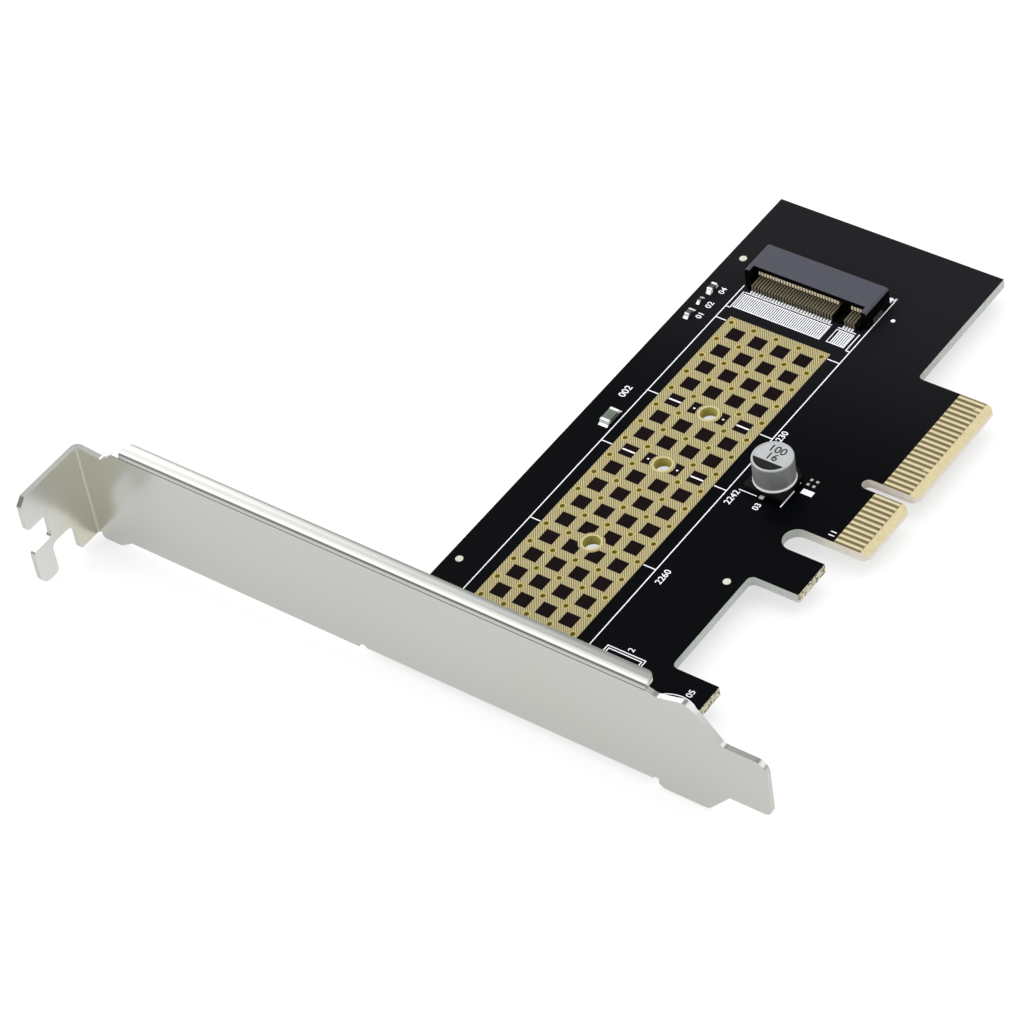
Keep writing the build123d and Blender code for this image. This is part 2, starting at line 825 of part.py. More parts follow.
def solder_fillets():
    """A sloping bead of solder against each end of every chip part and lamp."""
    chips = [(chip, chip[4]) for chip in (resistor, ceramic_capacitor)]
    chips += [(chip, led_terminal_height) for chip in (link_led, drive_led)]
    beads = []
    for chip, end_height in chips:
        x, y, length, width, height, end_length = chip
        bead_height = solder_height_share * end_height
        for outward in (-1, 1):
            end_x = x + outward * length / 2
            slope = [(end_x, 0), (end_x + outward * solder_reach, 0), (end_x, bead_height)]
            beads.append(end_solid(slope, y - width / 2, y + width / 2))
    return beads


def fiducial_pads():
    """Round bare pads near the board's edges."""
    pad = RegularPolygon(fiducial_diameter / 2, fiducial_sides)
    return [plan_solid(Pos(x, y) * pad, 0, copper_thickness) for x, y in zip(fiducial_x, fiducial_y)]


def spare_pads():
    """Four square bare pads beside the capacitor."""
    pads = []
    half = spare_pad_size / 2
    for step_x in (-1, 1):
        for step_y in (-1, 1):
            x = spare_pad_x + step_x * spare_pad_pitch / 2
            y = spare_pad_y + step_y * spare_pad_pitch / 2
            pads.append(box_between(x - half, x + half, y - half, y + half, 0, copper_thickness))
    return pads


def write_node(name, shape):
    """Write one node's solid or solids to its own file."""
    if isinstance(shape, list):
        shape = Compound(children=shape)
    shape.label = name
    export_step(shape, f"parts/{name}.step")


os.makedirs("parts", exist_ok=True)
write_node("circuit_board", circuit_board())
write_node("heat_grid", heat_grid())
write_node("edge_contacts_front", edge_contacts(0, front_short_contact_x))
write_node("edge_contacts_back", edge_contacts(-board_thickness - copper_thickness, back_short_contact_x))
write_node("bracket", bracket())
write_node("bracket_screws", bracket_screws())
write_node("socket_housing", socket_housing())
write_node("socket_contacts_upper", socket_contacts_upper())
write_node("socket_contacts_lower", socket_contacts_lower())
write_node("socket_hold_downs", socket_hold_downs())
write_node("capacitor_can", capacitor_can())
write_node("capacitor_base", capacitor_base())
write_node("capacitor_terminals", capacitor_terminals())
write_node("link_led_body", led_body(link_led))
write_node("link_led_terminals", led_terminals(link_led))
write_node("drive_led_body", led_body(drive_led))
write_node("drive_led_terminals", led_terminals(drive_led))
write_node("resistor_body", chip_body(resistor))
write_node("resistor_end_caps", chip_ends(resistor))
write_node("ceramic_capacitor_body", chip_body(ceramic_capacitor))
write_node("ceramic_capacitor_end_caps", chip_ends(ceramic_capacitor))
write_node("solder_fillets", solder_fillets())
write_node("fiducial_pads", fiducial_pads())
write_node("spare_pads", spare_pads())
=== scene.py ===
import math
import bmesh
import bpy
from mathutils import Matrix, Vector
from mathutils.geometry import delaunay_2d_cdt


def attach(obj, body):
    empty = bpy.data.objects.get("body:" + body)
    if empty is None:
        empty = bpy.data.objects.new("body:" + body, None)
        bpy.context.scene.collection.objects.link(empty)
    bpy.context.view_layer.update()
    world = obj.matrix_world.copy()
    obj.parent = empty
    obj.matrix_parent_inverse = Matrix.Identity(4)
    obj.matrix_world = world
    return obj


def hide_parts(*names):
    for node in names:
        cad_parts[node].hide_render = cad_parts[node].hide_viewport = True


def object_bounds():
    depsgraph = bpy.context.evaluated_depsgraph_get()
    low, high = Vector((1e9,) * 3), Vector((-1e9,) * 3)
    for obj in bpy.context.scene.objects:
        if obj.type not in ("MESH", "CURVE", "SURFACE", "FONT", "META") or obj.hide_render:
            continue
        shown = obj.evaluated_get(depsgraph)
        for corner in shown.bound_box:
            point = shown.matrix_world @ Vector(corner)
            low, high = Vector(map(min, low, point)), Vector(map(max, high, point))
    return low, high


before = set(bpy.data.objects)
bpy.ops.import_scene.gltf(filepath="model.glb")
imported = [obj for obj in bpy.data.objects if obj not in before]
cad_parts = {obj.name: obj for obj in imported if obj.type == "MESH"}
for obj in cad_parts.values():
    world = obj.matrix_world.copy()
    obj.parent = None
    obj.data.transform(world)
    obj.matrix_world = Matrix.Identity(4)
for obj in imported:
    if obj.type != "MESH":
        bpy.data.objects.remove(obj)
cad_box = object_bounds()

# Sizes and places are in millimetres in the card's own frame, and become metres at the end of
# each mesh. Names that end in METRES are in metres. The origin is the key notch on the contact
# edge, and +X runs away from the bracket.
MM = 0.001

# Camera, from the photograph's perspective
CAMERA_HEADING = 46.92
CAMERA_ELEVATION = 44.33
CAMERA_ROLL = 10.255
CAMERA_TARGET = (-29.24, 49.77, 0.0)
CAMERA_DISTANCE = 590.8
CAMERA_FOCAL_PIXELS = 4102.0
IMAGE_PIXELS = 1024
SENSOR_WIDTH = 36.0
CLIP_START_METRES = 0.01

# Floor and lamps. Each lamp has its name, its direction from the card, its distance and its
# side in metres, and its watts.
FLOOR_HALF_METRES = 1.5
FLOOR_TONE = (0.9, 0.9, 0.9, 1.0)
FLOOR_GLOW_SHARE = 0.68
LAMP_TARGET = (-12.0, 40.0, 0.0)
LAMPS = (
    ("soft_side", (-0.75, 0.3, 0.6), 0.9, 0.7, 4.0),
    ("soft_top", (0.1, -0.2, 1.0), 0.8, 0.6, 3.0),
)
WHITE = (1.0, 1.0, 1.0, 1.0)

# Surroundings that the metal mirrors. Each patch has its direction, its level, and the angles
# from its middle where it starts to fade and where it ends. The dark patch has the share of the
# level that is left in it.
STUDIO_TINT = (0.97, 0.98, 1.0, 1.0)
SKY_LEVEL = 0.55
BRIGHT_PATCHES = (
    ((0.40, 0.72, 0.57), 2.8, 8.0, 20.5),
    ((-0.14, 0.5, 0.86), 2.2, 16.0, 31.0),
    ((0.52, -0.53, 0.67), 1.7, 14.0, 32.0),
)
DARK_PATCH = ((-0.74, 0.49, 0.46), 0.1, 3.0, 9.0)
HORIZON_LOW = 0.05
HORIZON_HIGH = 0.3
HORIZON_SHARE = 1.7

# Bracket
EDGE_SOFTENING = 0.1
SATIN_START_Y = 84.0
SATIN_END_Y = 97.0
SATIN_TOP_Z = 15.0
TAB_LOW_Y = 102.0
TAB_FAR_X = -70.0
TAB_NEAR_X = -61.0
TAB_FACING = -0.9
BEND_FACING_LOW = 0.2
BEND_FACING_HIGH = 0.9
BEND_UPWARD_LIMIT = 0.3
# A painted dark reflection line on the bracket's face where the flange's bend starts: its height,
# half width, lowest Y and facing.
REFLECTION_LINE_Z = 15.02
REFLECTION_LINE_HALF_WIDTH = 0.1
REFLECTION_LINE_LOW_Y = 3.9
REFLECTION_LINE_FACING = -0.5
FLANGE_TOP_Z = 16.0
FLANGE_TOP_DEPTH = 0.005
FLANGE_LIP_X = -56.45
FLANGE_BEND_X = -58.1
FLANGE_CROWN = 10.0

# Board
FLAT_FACING = 0.98
SIDE_FACING = 0.2
MASK_EDGE_Y = 5.8
MASK_HOOK_X = -14.0
SHEEN_START_X = -5.0
SHEEN_END_X = 42.0
BROKEN_EDGE_Y = 4.7
PALE_EDGE_FADE = 1.5
PALE_EDGE_REACH = 6.0
PALE_EDGE_START_X = 25.0
PALE_EDGE_END_X = 22.0
CONTACT_PITCH = 1.0
CONTACT_GAP_START = 0.33
CONTACT_EDGE_START = 0.06

# Drive seat and heat grid
MODULE_Y = 36.0
MODULE_EDGE_X = 31.23
MODULE_LENGTHS = (30.0, 42.0, 60.0, 80.0)
MODULE_HOLE_DIAMETER = 2.6
HOLE_WALL_REACH = 1.5
HOLE_CLEARANCE = 0.02
HOLE_STEPS = 48
RING_DIAMETER = 4.0
PLAIN_RING_DIAMETER = 3.3
GRID_PITCH = 4.0
GRID_START_X = 20.33
GRID_END_MARGIN = 1.1
GRID_SIDE_MARGIN = 0.9
GRID_VIA_ROWS = 19
GRID_VIA_COLUMNS = 5
GRID_WINDOW = 2.4
GRID_VIA_DIAMETER = 0.76
GRID_THICKNESS = 0.1
GRID_EDGE_SOFTENING = 0.025
VIA_STEPS = 20
VIA_MARGIN = 0.1
VIA_STAIN_RADIUS = 0.42
VIA_STAIN_MARGIN = 0.5
VIA_RING_RADIUS = 0.58
VIA_RING_MARGIN = 0.6
HATCH_TURN = 54.0
HATCH_SCALE = 1000.0

# Print. Lines have their two ends, boxes their low and high X, then their low and high Y, dots
# their middle and radius, and numbers their middle, digits and size.
SEAT_LOW_Y = 24.85
SEAT_HIGH_Y = 46.9
SEAT_BRACKET_X = -56.9
SEAT_MARK_X = 19.3
MARK_GAP = 0.1
SILK_THICKNESS = 0.03
SILK_LINE = 0.17
TICK_LINE = 0.26
DOT_TICK_OFFSET = 0.55
DOT_TICK_REACH = 0.16
PRINT_LINES = (
    ((27.1, SEAT_HIGH_Y), (SEAT_BRACKET_X, SEAT_HIGH_Y)),
    ((35.3, SEAT_LOW_Y), (SEAT_BRACKET_X, SEAT_LOW_Y)),
    ((33.9, 25.5), (35.3, SEAT_LOW_Y)),
    ((22.0, 46.15), (25.9, 46.15)),
    ((22.0, 46.2), (22.0, 46.85)),
    ((22.1, 25.6), (26.0, 25.6)),
    ((22.1, 25.55), (22.1, 24.9)),
    ((25.85, 26.2), (25.85, 29.3)),
    ((25.85, 30.4), (25.85, 45.9)),
    ((-9.65, 23.46), (-9.65, 20.38)),
    ((-9.9, 16.2), (-6.2, 16.2)),
    ((-4.53, 16.25), (-3.2, 17.41)),
)
ARC_X = -51.7
ARC_Y = 7.83
ARC_RADIUS = 4.7
ARC_START = -46.0
ARC_STEP = 7.0
ARC_POINTS = 13
PIN_BOX = (-45.4, -44.0, 16.1, 22.5)
PIN_BOX_INSET = 0.42
LARGE_DOT = (34.66, 25.59, 0.45)
SMALL_DOT = (30.87, 22.86, 0.35)
DOT_STEPS = 20
CAPACITOR_MARK = (-6.1, -5.1, 13.4, 15.3)
STRIPED_BLOCKS = ((22.3, 25.5, 30.4, 45.9), (22.4, 25.5, 26.15, 29.3))
BLOCK_FRAME = 0.14
STRIPE_PITCH = 0.36
STRIPE_WIDTH = 0.2
LENGTH_SIZE = 1.5
LABEL_SIZE = 1.4
RESISTOR_LABEL_SIZE = 1.65
DIGIT_BOLDNESS = 0.012
PRINT_NUMBERS = (
    (1.98, 23.85, "2230", LENGTH_SIZE),
    (-11.5, 23.4, "2242", LENGTH_SIZE),
    (-29.43, 23.1, "2260", LENGTH_SIZE),
    (24.55, 49.1, "04", LABEL_SIZE),
    (21.0, 49.1, "02", LABEL_SIZE),
    (18.4, 49.1, "01", LABEL_SIZE),
    (-0.6, 49.6, "002", RESISTOR_LABEL_SIZE),
    (-11.4, 19.2, "03", LABEL_SIZE),
    (-45.97, 7.2, "05", LABEL_SIZE),
    (-43.2, 19.0, "2", LABEL_SIZE),
    (-10.77, 6.72, "11", LABEL_SIZE),
)

# Upright capacitor
CAPACITOR_X = -5.98
CAPACITOR_Y = 19.59
CAN_RADIUS = 3.15
CAN_RIM_RADIUS = 0.26
CAN_RIM_STEPS = 8
CAN_STEPS = 96
CAN_TOP_SINK = 0.08
CAN_FOOT_Z = 0.95
CAN_HEIGHT = 4.35
CAN_FOOT_BAND = 0.45
CAN_RIM_BAND = 0.3
CAN_PRINT_THICKNESS = 0.02
CAN_DIGIT_SIZE = 1.95
CAN_DIGIT_TURN = -90.0
CAN_NUMBERS = (("100", 1.4), ("16", -0.15))
SEGMENT_INSET = 0.09
SEGMENT_HALF_ANGLE = 66.0
SEGMENT_STEPS = 24

# Drive socket
SOCKET_COVER_LOW_Z = 2.5
FOOT_X = 26.2
FOOT_LENGTH = 0.42
FOOT_WIDTH = 0.17
FOOT_HEIGHT = 0.32
BEAD_SEGMENTS = 12
BEAD_RINGS = 8
BEAD_CUT_Z = -0.01
POSITION_PITCH = 0.25
POSITIONS = 75
KEY_FIRST = 59
KEY_LAST = 66

# Lamps on the board: the middle of each, and how far its lens reaches from there
LINK_LAMP_X = 17.9
LINK_LENS_REACH = 0.45
DRIVE_LAMP_X = -6.35
DRIVE_LENS_REACH = 1.0

# Meshes
MERGE_DISTANCE = 1e-4
SOLID_MERGE_DISTANCE = 0.0005
SAME_PLANE_ANGLE = 0.5
SHARP_EDGE_ANGLE = 40.0
SAME_POINT_DISTANCE = 0.01
STRAIGHT_LIMIT = 1e-6
FILL_INSIDE = 1
FILL_TOLERANCE = 1e-5
BEVEL_MITRE_LIMIT = 0.4
STROKE_MITRE_LIMIT = 0.3

module_hole_x = [MODULE_EDGE_X - length for length in MODULE_LENGTHS]
grid_via_x = [GRID_START_X - GRID_END_MARGIN - GRID_PITCH * row for row in range(GRID_VIA_ROWS)]
grid_side_columns = (GRID_VIA_COLUMNS - 1) / 2
grid_via_y = [
    MODULE_Y + GRID_PITCH * (column - grid_side_columns) for column in range(GRID_VIA_COLUMNS)
]
grid_end_x = grid_via_x[-1] - GRID_END_MARGIN
grid_half_width = GRID_PITCH * grid_side_columns + GRID_SIDE_MARGIN
grid_low_y = MODULE_Y - grid_half_width
grid_high_y = MODULE_Y + grid_half_width


# Nodes of materials

def new_material(name):
    """A node material with its node tree and its shader, ready for a pattern."""
    material = bpy.data.materials.new(name)
    material.use_nodes = True
    tree = material.node_tree
    return material, tree, tree.nodes["Principled BSDF"]


def calc(tree, operation, first, second=None):
    """One sum on values that are numbers or the outputs of other nodes."""
    node = tree.nodes.new("ShaderNodeMath")
    node.operation = operation
    for number, value in enumerate((first, second)):
        if isinstance(value, (int, float)):
            node.inputs[number].default_value = value
        elif value is not None:
            tree.links.new(value, node.inputs[number])
    return node.outputs[0]


def above(tree, value, limit):
    """Where a value is above a limit."""
    return calc(tree, "GREATER_THAN", value, limit)


def below(tree, value, limit):
    """Where a value is below a limit."""
    return calc(tree, "LESS_THAN", value, limit)


def within(tree, value, low, high):
    """Where a value lies between two limits."""
    return calc(tree, "MULTIPLY", above(tree, value, low), below(tree, value, high))


def all_of(tree, *masks):
    """Where every mask is set."""
    result = masks[0]
    for mask in masks[1:]:
        result = calc(tree, "MULTIPLY", result, mask)
    return result


def eased(tree, value, start, end):
    """A mask that rises softly from none at the start to full at the end."""
    ramp = tree.nodes.new("ShaderNodeMapRange")
    ramp.interpolation_type = "SMOOTHSTEP"
    ramp.inputs["From Min"].default_value = start
    ramp.inputs["From Max"].default_value = end
    tree.links.new(value, ramp.inputs["Value"])
    return ramp.outputs["Result"]


def between(tree, factor, low, high, start=0.0, end=1.0):
    """A value that runs from low to high as the factor runs from its start to its end."""
    ramp = tree.nodes.new("ShaderNodeMapRange")
    ramp.inputs["From Min"].default_value = start
    ramp.inputs["From Max"].default_value = end
    ramp.inputs["To Min"].default_value = low
    ramp.inputs["To Max"].default_value = high
    tree.links.new(factor, ramp.inputs["Value"])
    return ramp.outputs["Result"]


def blend(tree, factor, first, second):
    """A colour that runs from a first to a second one, both plain or the outputs of other nodes."""
    mix = tree.nodes.new("ShaderNodeMix")
    mix.data_type = "RGBA"
    for name, value in (("A", first), ("B", second)):
        if isinstance(value, tuple):
            mix.inputs[name].default_value = (*value, 1.0)
        else:
            tree.links.new(value, mix.inputs[name])
    tree.links.new(factor, mix.inputs["Factor"])
    return mix.outputs["Result"]


def place_along(tree, axis):
    """The place on the card along one axis, in millimetres."""
    place = tree.nodes.new("ShaderNodeTexCoord")
    axes = tree.nodes.new("ShaderNodeSeparateXYZ")
    tree.links.new(place.outputs["Object"], axes.inputs[0])
    return calc(tree, "DIVIDE", axes.outputs[axis], MM)


def facing_along(tree, axis):
    """How far the surface faces along one axis, from -1 to 1."""
    place = tree.nodes.new("ShaderNodeTexCoord")
    axes = tree.nodes.new("ShaderNodeSeparateXYZ")
    tree.links.new(place.outputs["Normal"], axes.inputs[0])
    return axes.outputs[axis]


def distance(tree, along, across):
    """The length of a line from its two lengths at right angles."""
    square_along = calc(tree, "MULTIPLY", along, along)
    square_across = calc(tree, "MULTIPLY", across, across)
    return calc(tree, "SQRT", calc(tree, "ADD", square_along, square_across))


def noise(tree, scale, detail=3.0, roughness=0.5):
    """Noise in the object's own space, with a scale in turns per metre."""
    place = tree.nodes.new("ShaderNodeTexCoord")
    pattern = tree.nodes.new("ShaderNodeTexNoise")
    pattern.inputs["Scale"].default_value = scale
    pattern.inputs["Detail"].default_value = detail
    pattern.inputs["Roughness"].default_value = roughness
    tree.links.new(place.outputs["Object"], pattern.inputs["Vector"])
    return pattern.outputs["Fac"]


def bump(tree, height, strength, depth, shader):
    """A bump from a height pattern, with its depth in metres."""
    node = tree.nodes.new("ShaderNodeBump")
    node.inputs["Strength"].default_value = strength
    node.inputs["Distance"].default_value = depth
    tree.links.new(height, node.inputs["Height"])
    tree.links.new(node.outputs["Normal"], shader.inputs["Normal"])


def mix_shaders(tree, factor, first, second, output):
    """Send a first and a second shader, mixed by a factor, to an output."""
    mix = tree.nodes.new("ShaderNodeMixShader")
    tree.links.new(factor, mix.inputs["Fac"])
    tree.links.new(first.outputs[0], mix.inputs[1])
    tree.links.new(second.outputs[0], mix.inputs[2])
    tree.links.new(mix.outputs[0], output.inputs["Surface"])


# Camera, floor and light

def make_camera():
    """The photograph's view: heading, elevation and roll about a point on the board."""
    heading = math.radians(CAMERA_HEADING)
    elevation = math.radians(CAMERA_ELEVATION)
    roll = math.radians(CAMERA_ROLL)
    forward = Vector(
        (
            math.cos(elevation) * math.sin(heading),
            math.cos(elevation) * math.cos(heading),
            -math.sin(elevation),
        )
    )
    level_right = Vector((math.cos(heading), -math.sin(heading), 0.0))
    level_up = level_right.cross(forward)
    right = level_right * math.cos(roll) - level_up * math.sin(roll)
    up = level_up * math.cos(roll) + level_right * math.sin(roll)
    place = (Vector(CAMERA_TARGET) - forward * CAMERA_DISTANCE) * MM
    data = bpy.data.cameras.new("photo_camera")
    data.sensor_width = SENSOR_WIDTH
    data.lens = CAMERA_FOCAL_PIXELS / IMAGE_PIXELS * SENSOR_WIDTH
    data.clip_start = CLIP_START_METRES
    camera = bpy.data.objects.new("photo_camera", data)
    bpy.context.scene.collection.objects.link(camera)
    turn = Matrix((right, up, -forward)).transposed()
    camera.matrix_world = Matrix.Translation(place) @ turn.to_4x4()
    bpy.context.scene.camera = camera


def make_floor(low_z):
    """A pale floor that shows nearly white and keeps a soft shadow."""
    half = FLOOR_HALF_METRES
    corners = [(x, y, low_z) for x, y in rectangle(-half, half, -half, half)]
    mesh = bpy.data.meshes.new("floor")
    mesh.from_pydata(corners, [], [(0, 1, 2, 3)])
    floor = bpy.data.objects.new("floor", mesh)
    bpy.context.scene.collection.objects.link(floor)
    material = bpy.data.materials.new("floor_white")
    material.use_nodes = True
    tree = material.node_tree
    tree.nodes.clear()
    output = tree.nodes.new("ShaderNodeOutputMaterial")
    diffuse = tree.nodes.new("ShaderNodeBsdfDiffuse")
    diffuse.inputs["Color"].default_value = FLOOR_TONE
    glow = tree.nodes.new("ShaderNodeEmission")
    glow.inputs["Color"].default_value = WHITE
    glow.inputs["Strength"].default_value = 1.0
    path = tree.nodes.new("ShaderNodeLightPath")
    seen = calc(tree, "MAXIMUM", path.outputs["Is Camera Ray"], path.outputs["Is Glossy Ray"])
    mix_shaders(tree, calc(tree, "MULTIPLY", seen, FLOOR_GLOW_SHARE), diffuse, glow, output)
    mesh.materials.append(material)


def facing_patch(tree, direction, middle, inner_angle, outer_angle):
    """A round soft-edged patch of the surroundings about one direction."""
    aim = tree.nodes.new("ShaderNodeVectorMath")
    aim.operation = "DOT_PRODUCT"
    aim.inputs[1].default_value = Vector(middle).normalized()
    tree.links.new(direction, aim.inputs[0])
    outer = math.cos(math.radians(outer_angle))
    inner = math.cos(math.radians(inner_angle))
    return eased(tree, aim.outputs["Value"], outer, inner)


def make_world():
    """Soft light with bright patches, a dark one and a bright horizon, white for the camera."""
    world = bpy.data.worlds.new("studio")
    world.use_nodes = True
    tree = world.node_tree
    tree.nodes.clear()
    direction = tree.nodes.new("ShaderNodeTexCoord").outputs["Generated"]
    level = SKY_LEVEL
    for middle, patch_level, inner_angle, outer_angle in BRIGHT_PATCHES:
        patch = facing_patch(tree, direction, middle, inner_angle, outer_angle)
        level = calc(tree, "MAXIMUM", level, between(tree, patch, SKY_LEVEL, patch_level))
    middle, dark_share, inner_angle, outer_angle = DARK_PATCH
    gap = facing_patch(tree, direction, middle, inner_angle, outer_angle)
    axes = tree.nodes.new("ShaderNodeSeparateXYZ")
    tree.links.new(direction, axes.inputs[0])
    above_horizon = eased(tree, axes.outputs["Z"], HORIZON_LOW, HORIZON_HIGH)
    share = calc(
        tree,
        "MULTIPLY",
        between(tree, gap, 1.0, dark_share),
        between(tree, above_horizon, HORIZON_SHARE, 1.0),
    )
    studio = tree.nodes.new("ShaderNodeBackground")
    studio.inputs["Color"].default_value = STUDIO_TINT
    tree.links.new(calc(tree, "MULTIPLY", level, share), studio.inputs["Strength"])
    white = tree.nodes.new("ShaderNodeBackground")
    white.inputs["Color"].default_value = WHITE
    white.inputs["Strength"].default_value = 1.0
    path = tree.nodes.new("ShaderNodeLightPath")
    output = tree.nodes.new("ShaderNodeOutputWorld")
    mix_shaders(tree, path.outputs["Is Camera Ray"], studio, white, output)
    bpy.context.scene.world = world


def make_lamp(name, direction, distance_metres, side_metres, watts):
    """A soft square lamp that shines at the middle of the card, and that no metal mirrors."""
    data = bpy.data.lights.new(name, "AREA")
    data.shape = "RECTANGLE"
    data.size = side_metres
    data.size_y = side_metres
    data.energy = watts
    lamp = bpy.data.objects.new(name, data)
    bpy.context.scene.collection.objects.link(lamp)
    aim = Vector(direction).normalized()
    lamp.location = Vector(LAMP_TARGET) * MM + aim * distance_metres
    lamp.rotation_euler = aim.to_track_quat("Z", "Y").to_euler()
    lamp.visible_glossy = False


# Outlines and meshes

def add_piece(name, mesh, material, replaced=()):
    """A new piece of the card from a mesh in millimetres, riding on the card's one body."""
    mesh.transform(Matrix.Scale(MM, 4))
    piece = bpy.data.objects.new(name, mesh)
    bpy.context.scene.collection.objects.link(piece)
    mesh.materials.append(material)
    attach(piece, "root")
    if replaced:
        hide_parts(*replaced)


def rectangle(low_x, high_x, low_y, high_y):
    """A rectangle as a closed outline."""
    return [(low_x, low_y), (high_x, low_y), (high_x, high_y), (low_x, high_y)]


def circle(x, y, radius, steps):
    """A circle as a closed outline."""
    turns = [2 * math.pi * step / steps for step in range(steps)]
    return [(x + radius * math.cos(turn), y + radius * math.sin(turn)) for turn in turns]


def stroke(points, width):
    """A line with some width as a closed outline, with mitred corners."""
    half = width / 2
    left = []
    right = []
    last = len(points) - 1
    for index, point in enumerate(points):
        here = Vector(point)
        before = (here - Vector(points[index - 1])).normalized() if index > 0 else None
        after = (Vector(points[index + 1]) - here).normalized() if index < last else None
        run = after or before
        along = ((before or after) + run).normalized()
        side = Vector((-along.y, along.x))
        reach = half / max(STROKE_MITRE_LIMIT, abs(side.dot(Vector((-run.y, run.x)))))
        left.append(tuple(here + side * reach))
        right.append(tuple(here - side * reach))
    return left + right[::-1]


def area_of(outline):
    """The area of a closed outline, above zero when it runs anticlockwise."""
    following = outline[1:] + outline[:1]
    return sum(a[0] * b[1] - b[0] * a[1] for a, b in zip(outline, following)) / 2


def holds_point(outline, point):
    """Whether a point lies inside a closed outline."""
    x, y = point
    inside = False
    for (ax, ay), (bx, by) in zip(outline, outline[1:] + outline[:1]):
        if (ay > y) != (by > y) and x < ax + (bx - ax) * (y - ay) / (by - ay):
            inside = not inside
    return inside


def box_of(outline):
    """The low and high corner of a closed outline."""
    across = [x for x, y in outline]
    along = [y for x, y in outline]
    return min(across), min(along), max(across), max(along)


def moved_left(outline, reach):
    """A closed outline with every side moved to its left."""
    moved = []
    for index, corner in enumerate(outline):
        here = Vector(corner)
        before = (here - Vector(outline[index - 1])).normalized()
        after = (Vector(outline[(index + 1) % len(outline)]) - here).normalized()
        side = Vector((-before.y - after.y, before.x + after.x)).normalized()
        mitre = max(BEVEL_MITRE_LIMIT, side.dot(Vector((-before.y, before.x))))
        moved.append(tuple(here + side * (reach / mitre)))
    return moved


def with_material_on_left(outlines):
    """The same outlines, the outer ones turned anticlockwise and the holes clockwise."""
    turned = []
    for number, outline in enumerate(outlines):
        others = outlines[:number] + outlines[number + 1:]
        is_hole = sum(holds_point(other, outline[0]) for other in others) % 2 == 1
        runs_left = area_of(outline) > 0
        turned.append(outline[::-1] if is_hole == runs_left else outline)
    return turned


def to_mesh(name, work):
    """A mesh from a finished bmesh."""
    mesh = bpy.data.meshes.new(name)
    work.to_mesh(mesh)
    work.free()
    return mesh


def flat_mesh(name, outlines, low_z, high_z, bevel=0.0):
    """A flat shape between two heights, open below: closed outlines, where inner ones are holes."""
    outlines = with_material_on_left(outlines)
    work = bmesh.new()
    corners = []
    edges = []
    for outline in outlines:
        top = moved_left(outline, bevel) if bevel else outline
        first = len(corners)
        corners.extend(top)
        edges.extend((first + n, first + (n + 1) % len(top)) for n in range(len(top)))
        levels = [(top, high_z), (outline, high_z - bevel), (outline, low_z)]
        if not bevel:
            levels = levels[1:]
        rings = [[work.verts.new((x, y, z)) for x, y in ring] for ring, z in levels]
        for upper, lower in zip(rings, rings[1:]):
            for n in range(len(upper)):
                after = (n + 1) % len(upper)
                work.faces.new((lower[n], lower[after], upper[after], upper[n]))
    plan = [Vector(corner) for corner in corners]
    filled = delaunay_2d_cdt(plan, edges, [], FILL_INSIDE, FILL_TOLERANCE)
    points = filled[0]
    faces = filled[2]
    top_corners = [work.verts.new((point.x, point.y, high_z)) for point in points]
    boxes = [box_of(outline) for outline in outlines]
    for face in faces:
        middle = sum((points[n] for n in face), Vector((0.0, 0.0))) / len(face)
        around = [
            outline
            for outline, (low_x, low_y, high_x, high_y) in zip(outlines, boxes)
            if low_x < middle.x < high_x and low_y < middle.y < high_y
        ]
        if sum(holds_point(outline, middle) for outline in around) % 2 == 1:
            work.faces.new([top_corners[n] for n in face])
    bmesh.ops.remove_doubles(work, verts=work.verts, dist=MERGE_DISTANCE)
    return to_mesh(name, work)


def digits_mesh(name, text, size, place, turn_degrees, low_z, high_z):
    """Plain digits as a flat shape, centred on a place."""
    curve = bpy.data.curves.new(name, "FONT")
    curve.body = text
    curve.size = size
    curve.align_x = "CENTER"
    curve.align_y = "CENTER"
    curve.extrude = (high_z - low_z) / 2
    curve.offset = DIGIT_BOLDNESS
    holder = bpy.data.objects.new(name + "_text", curve)
    bpy.context.scene.collection.objects.link(holder)
    ready = holder.evaluated_get(bpy.context.evaluated_depsgraph_get())
    mesh = bpy.data.meshes.new_from_object(ready)
    bpy.data.objects.remove(holder)
    bpy.data.curves.remove(curve)
    mesh.name = name
    mesh.materials.clear()
    turn = Matrix.Rotation(math.radians(turn_degrees), 4, "Z")
    mesh.transform(Matrix.Translation((*place, (low_z + high_z) / 2)) @ turn)
    return mesh


def join_meshes(name, meshes):
    """Several meshes as one."""
    work = bmesh.new()
    for mesh in meshes:
        work.from_mesh(mesh)
        bpy.data.meshes.remove(mesh)
    return to_mesh(name, work)


def lathe_mesh(name, profile, x, y, z, steps):
    """A turned shape: points of radius and height about a vertical axis."""
    work = bmesh.new()
    rings = []
    for radius, height in profile:
        if radius == 0.0:
            rings.append([work.verts.new((x, y, z + height))] * steps)
        else:
            ring = circle(x, y, radius, steps)
            rings.append([work.verts.new((*point, z + height)) for point in ring])
    for lower, upper in zip(rings, rings[1:]):
        for step in range(steps):
            after = (step + 1) % steps
            corners = dict.fromkeys([lower[step], lower[after], upper[after], upper[step]])
            if len(corners) > 2:
                work.faces.new(list(corners))
    bmesh.ops.recalc_face_normals(work, faces=work.faces)
    for face in work.faces:
        face.smooth = True
    mesh = to_mesh(name, work)
    mesh.set_sharp_from_angle(angle=math.radians(SHARP_EDGE_ANGLE))
    return mesh


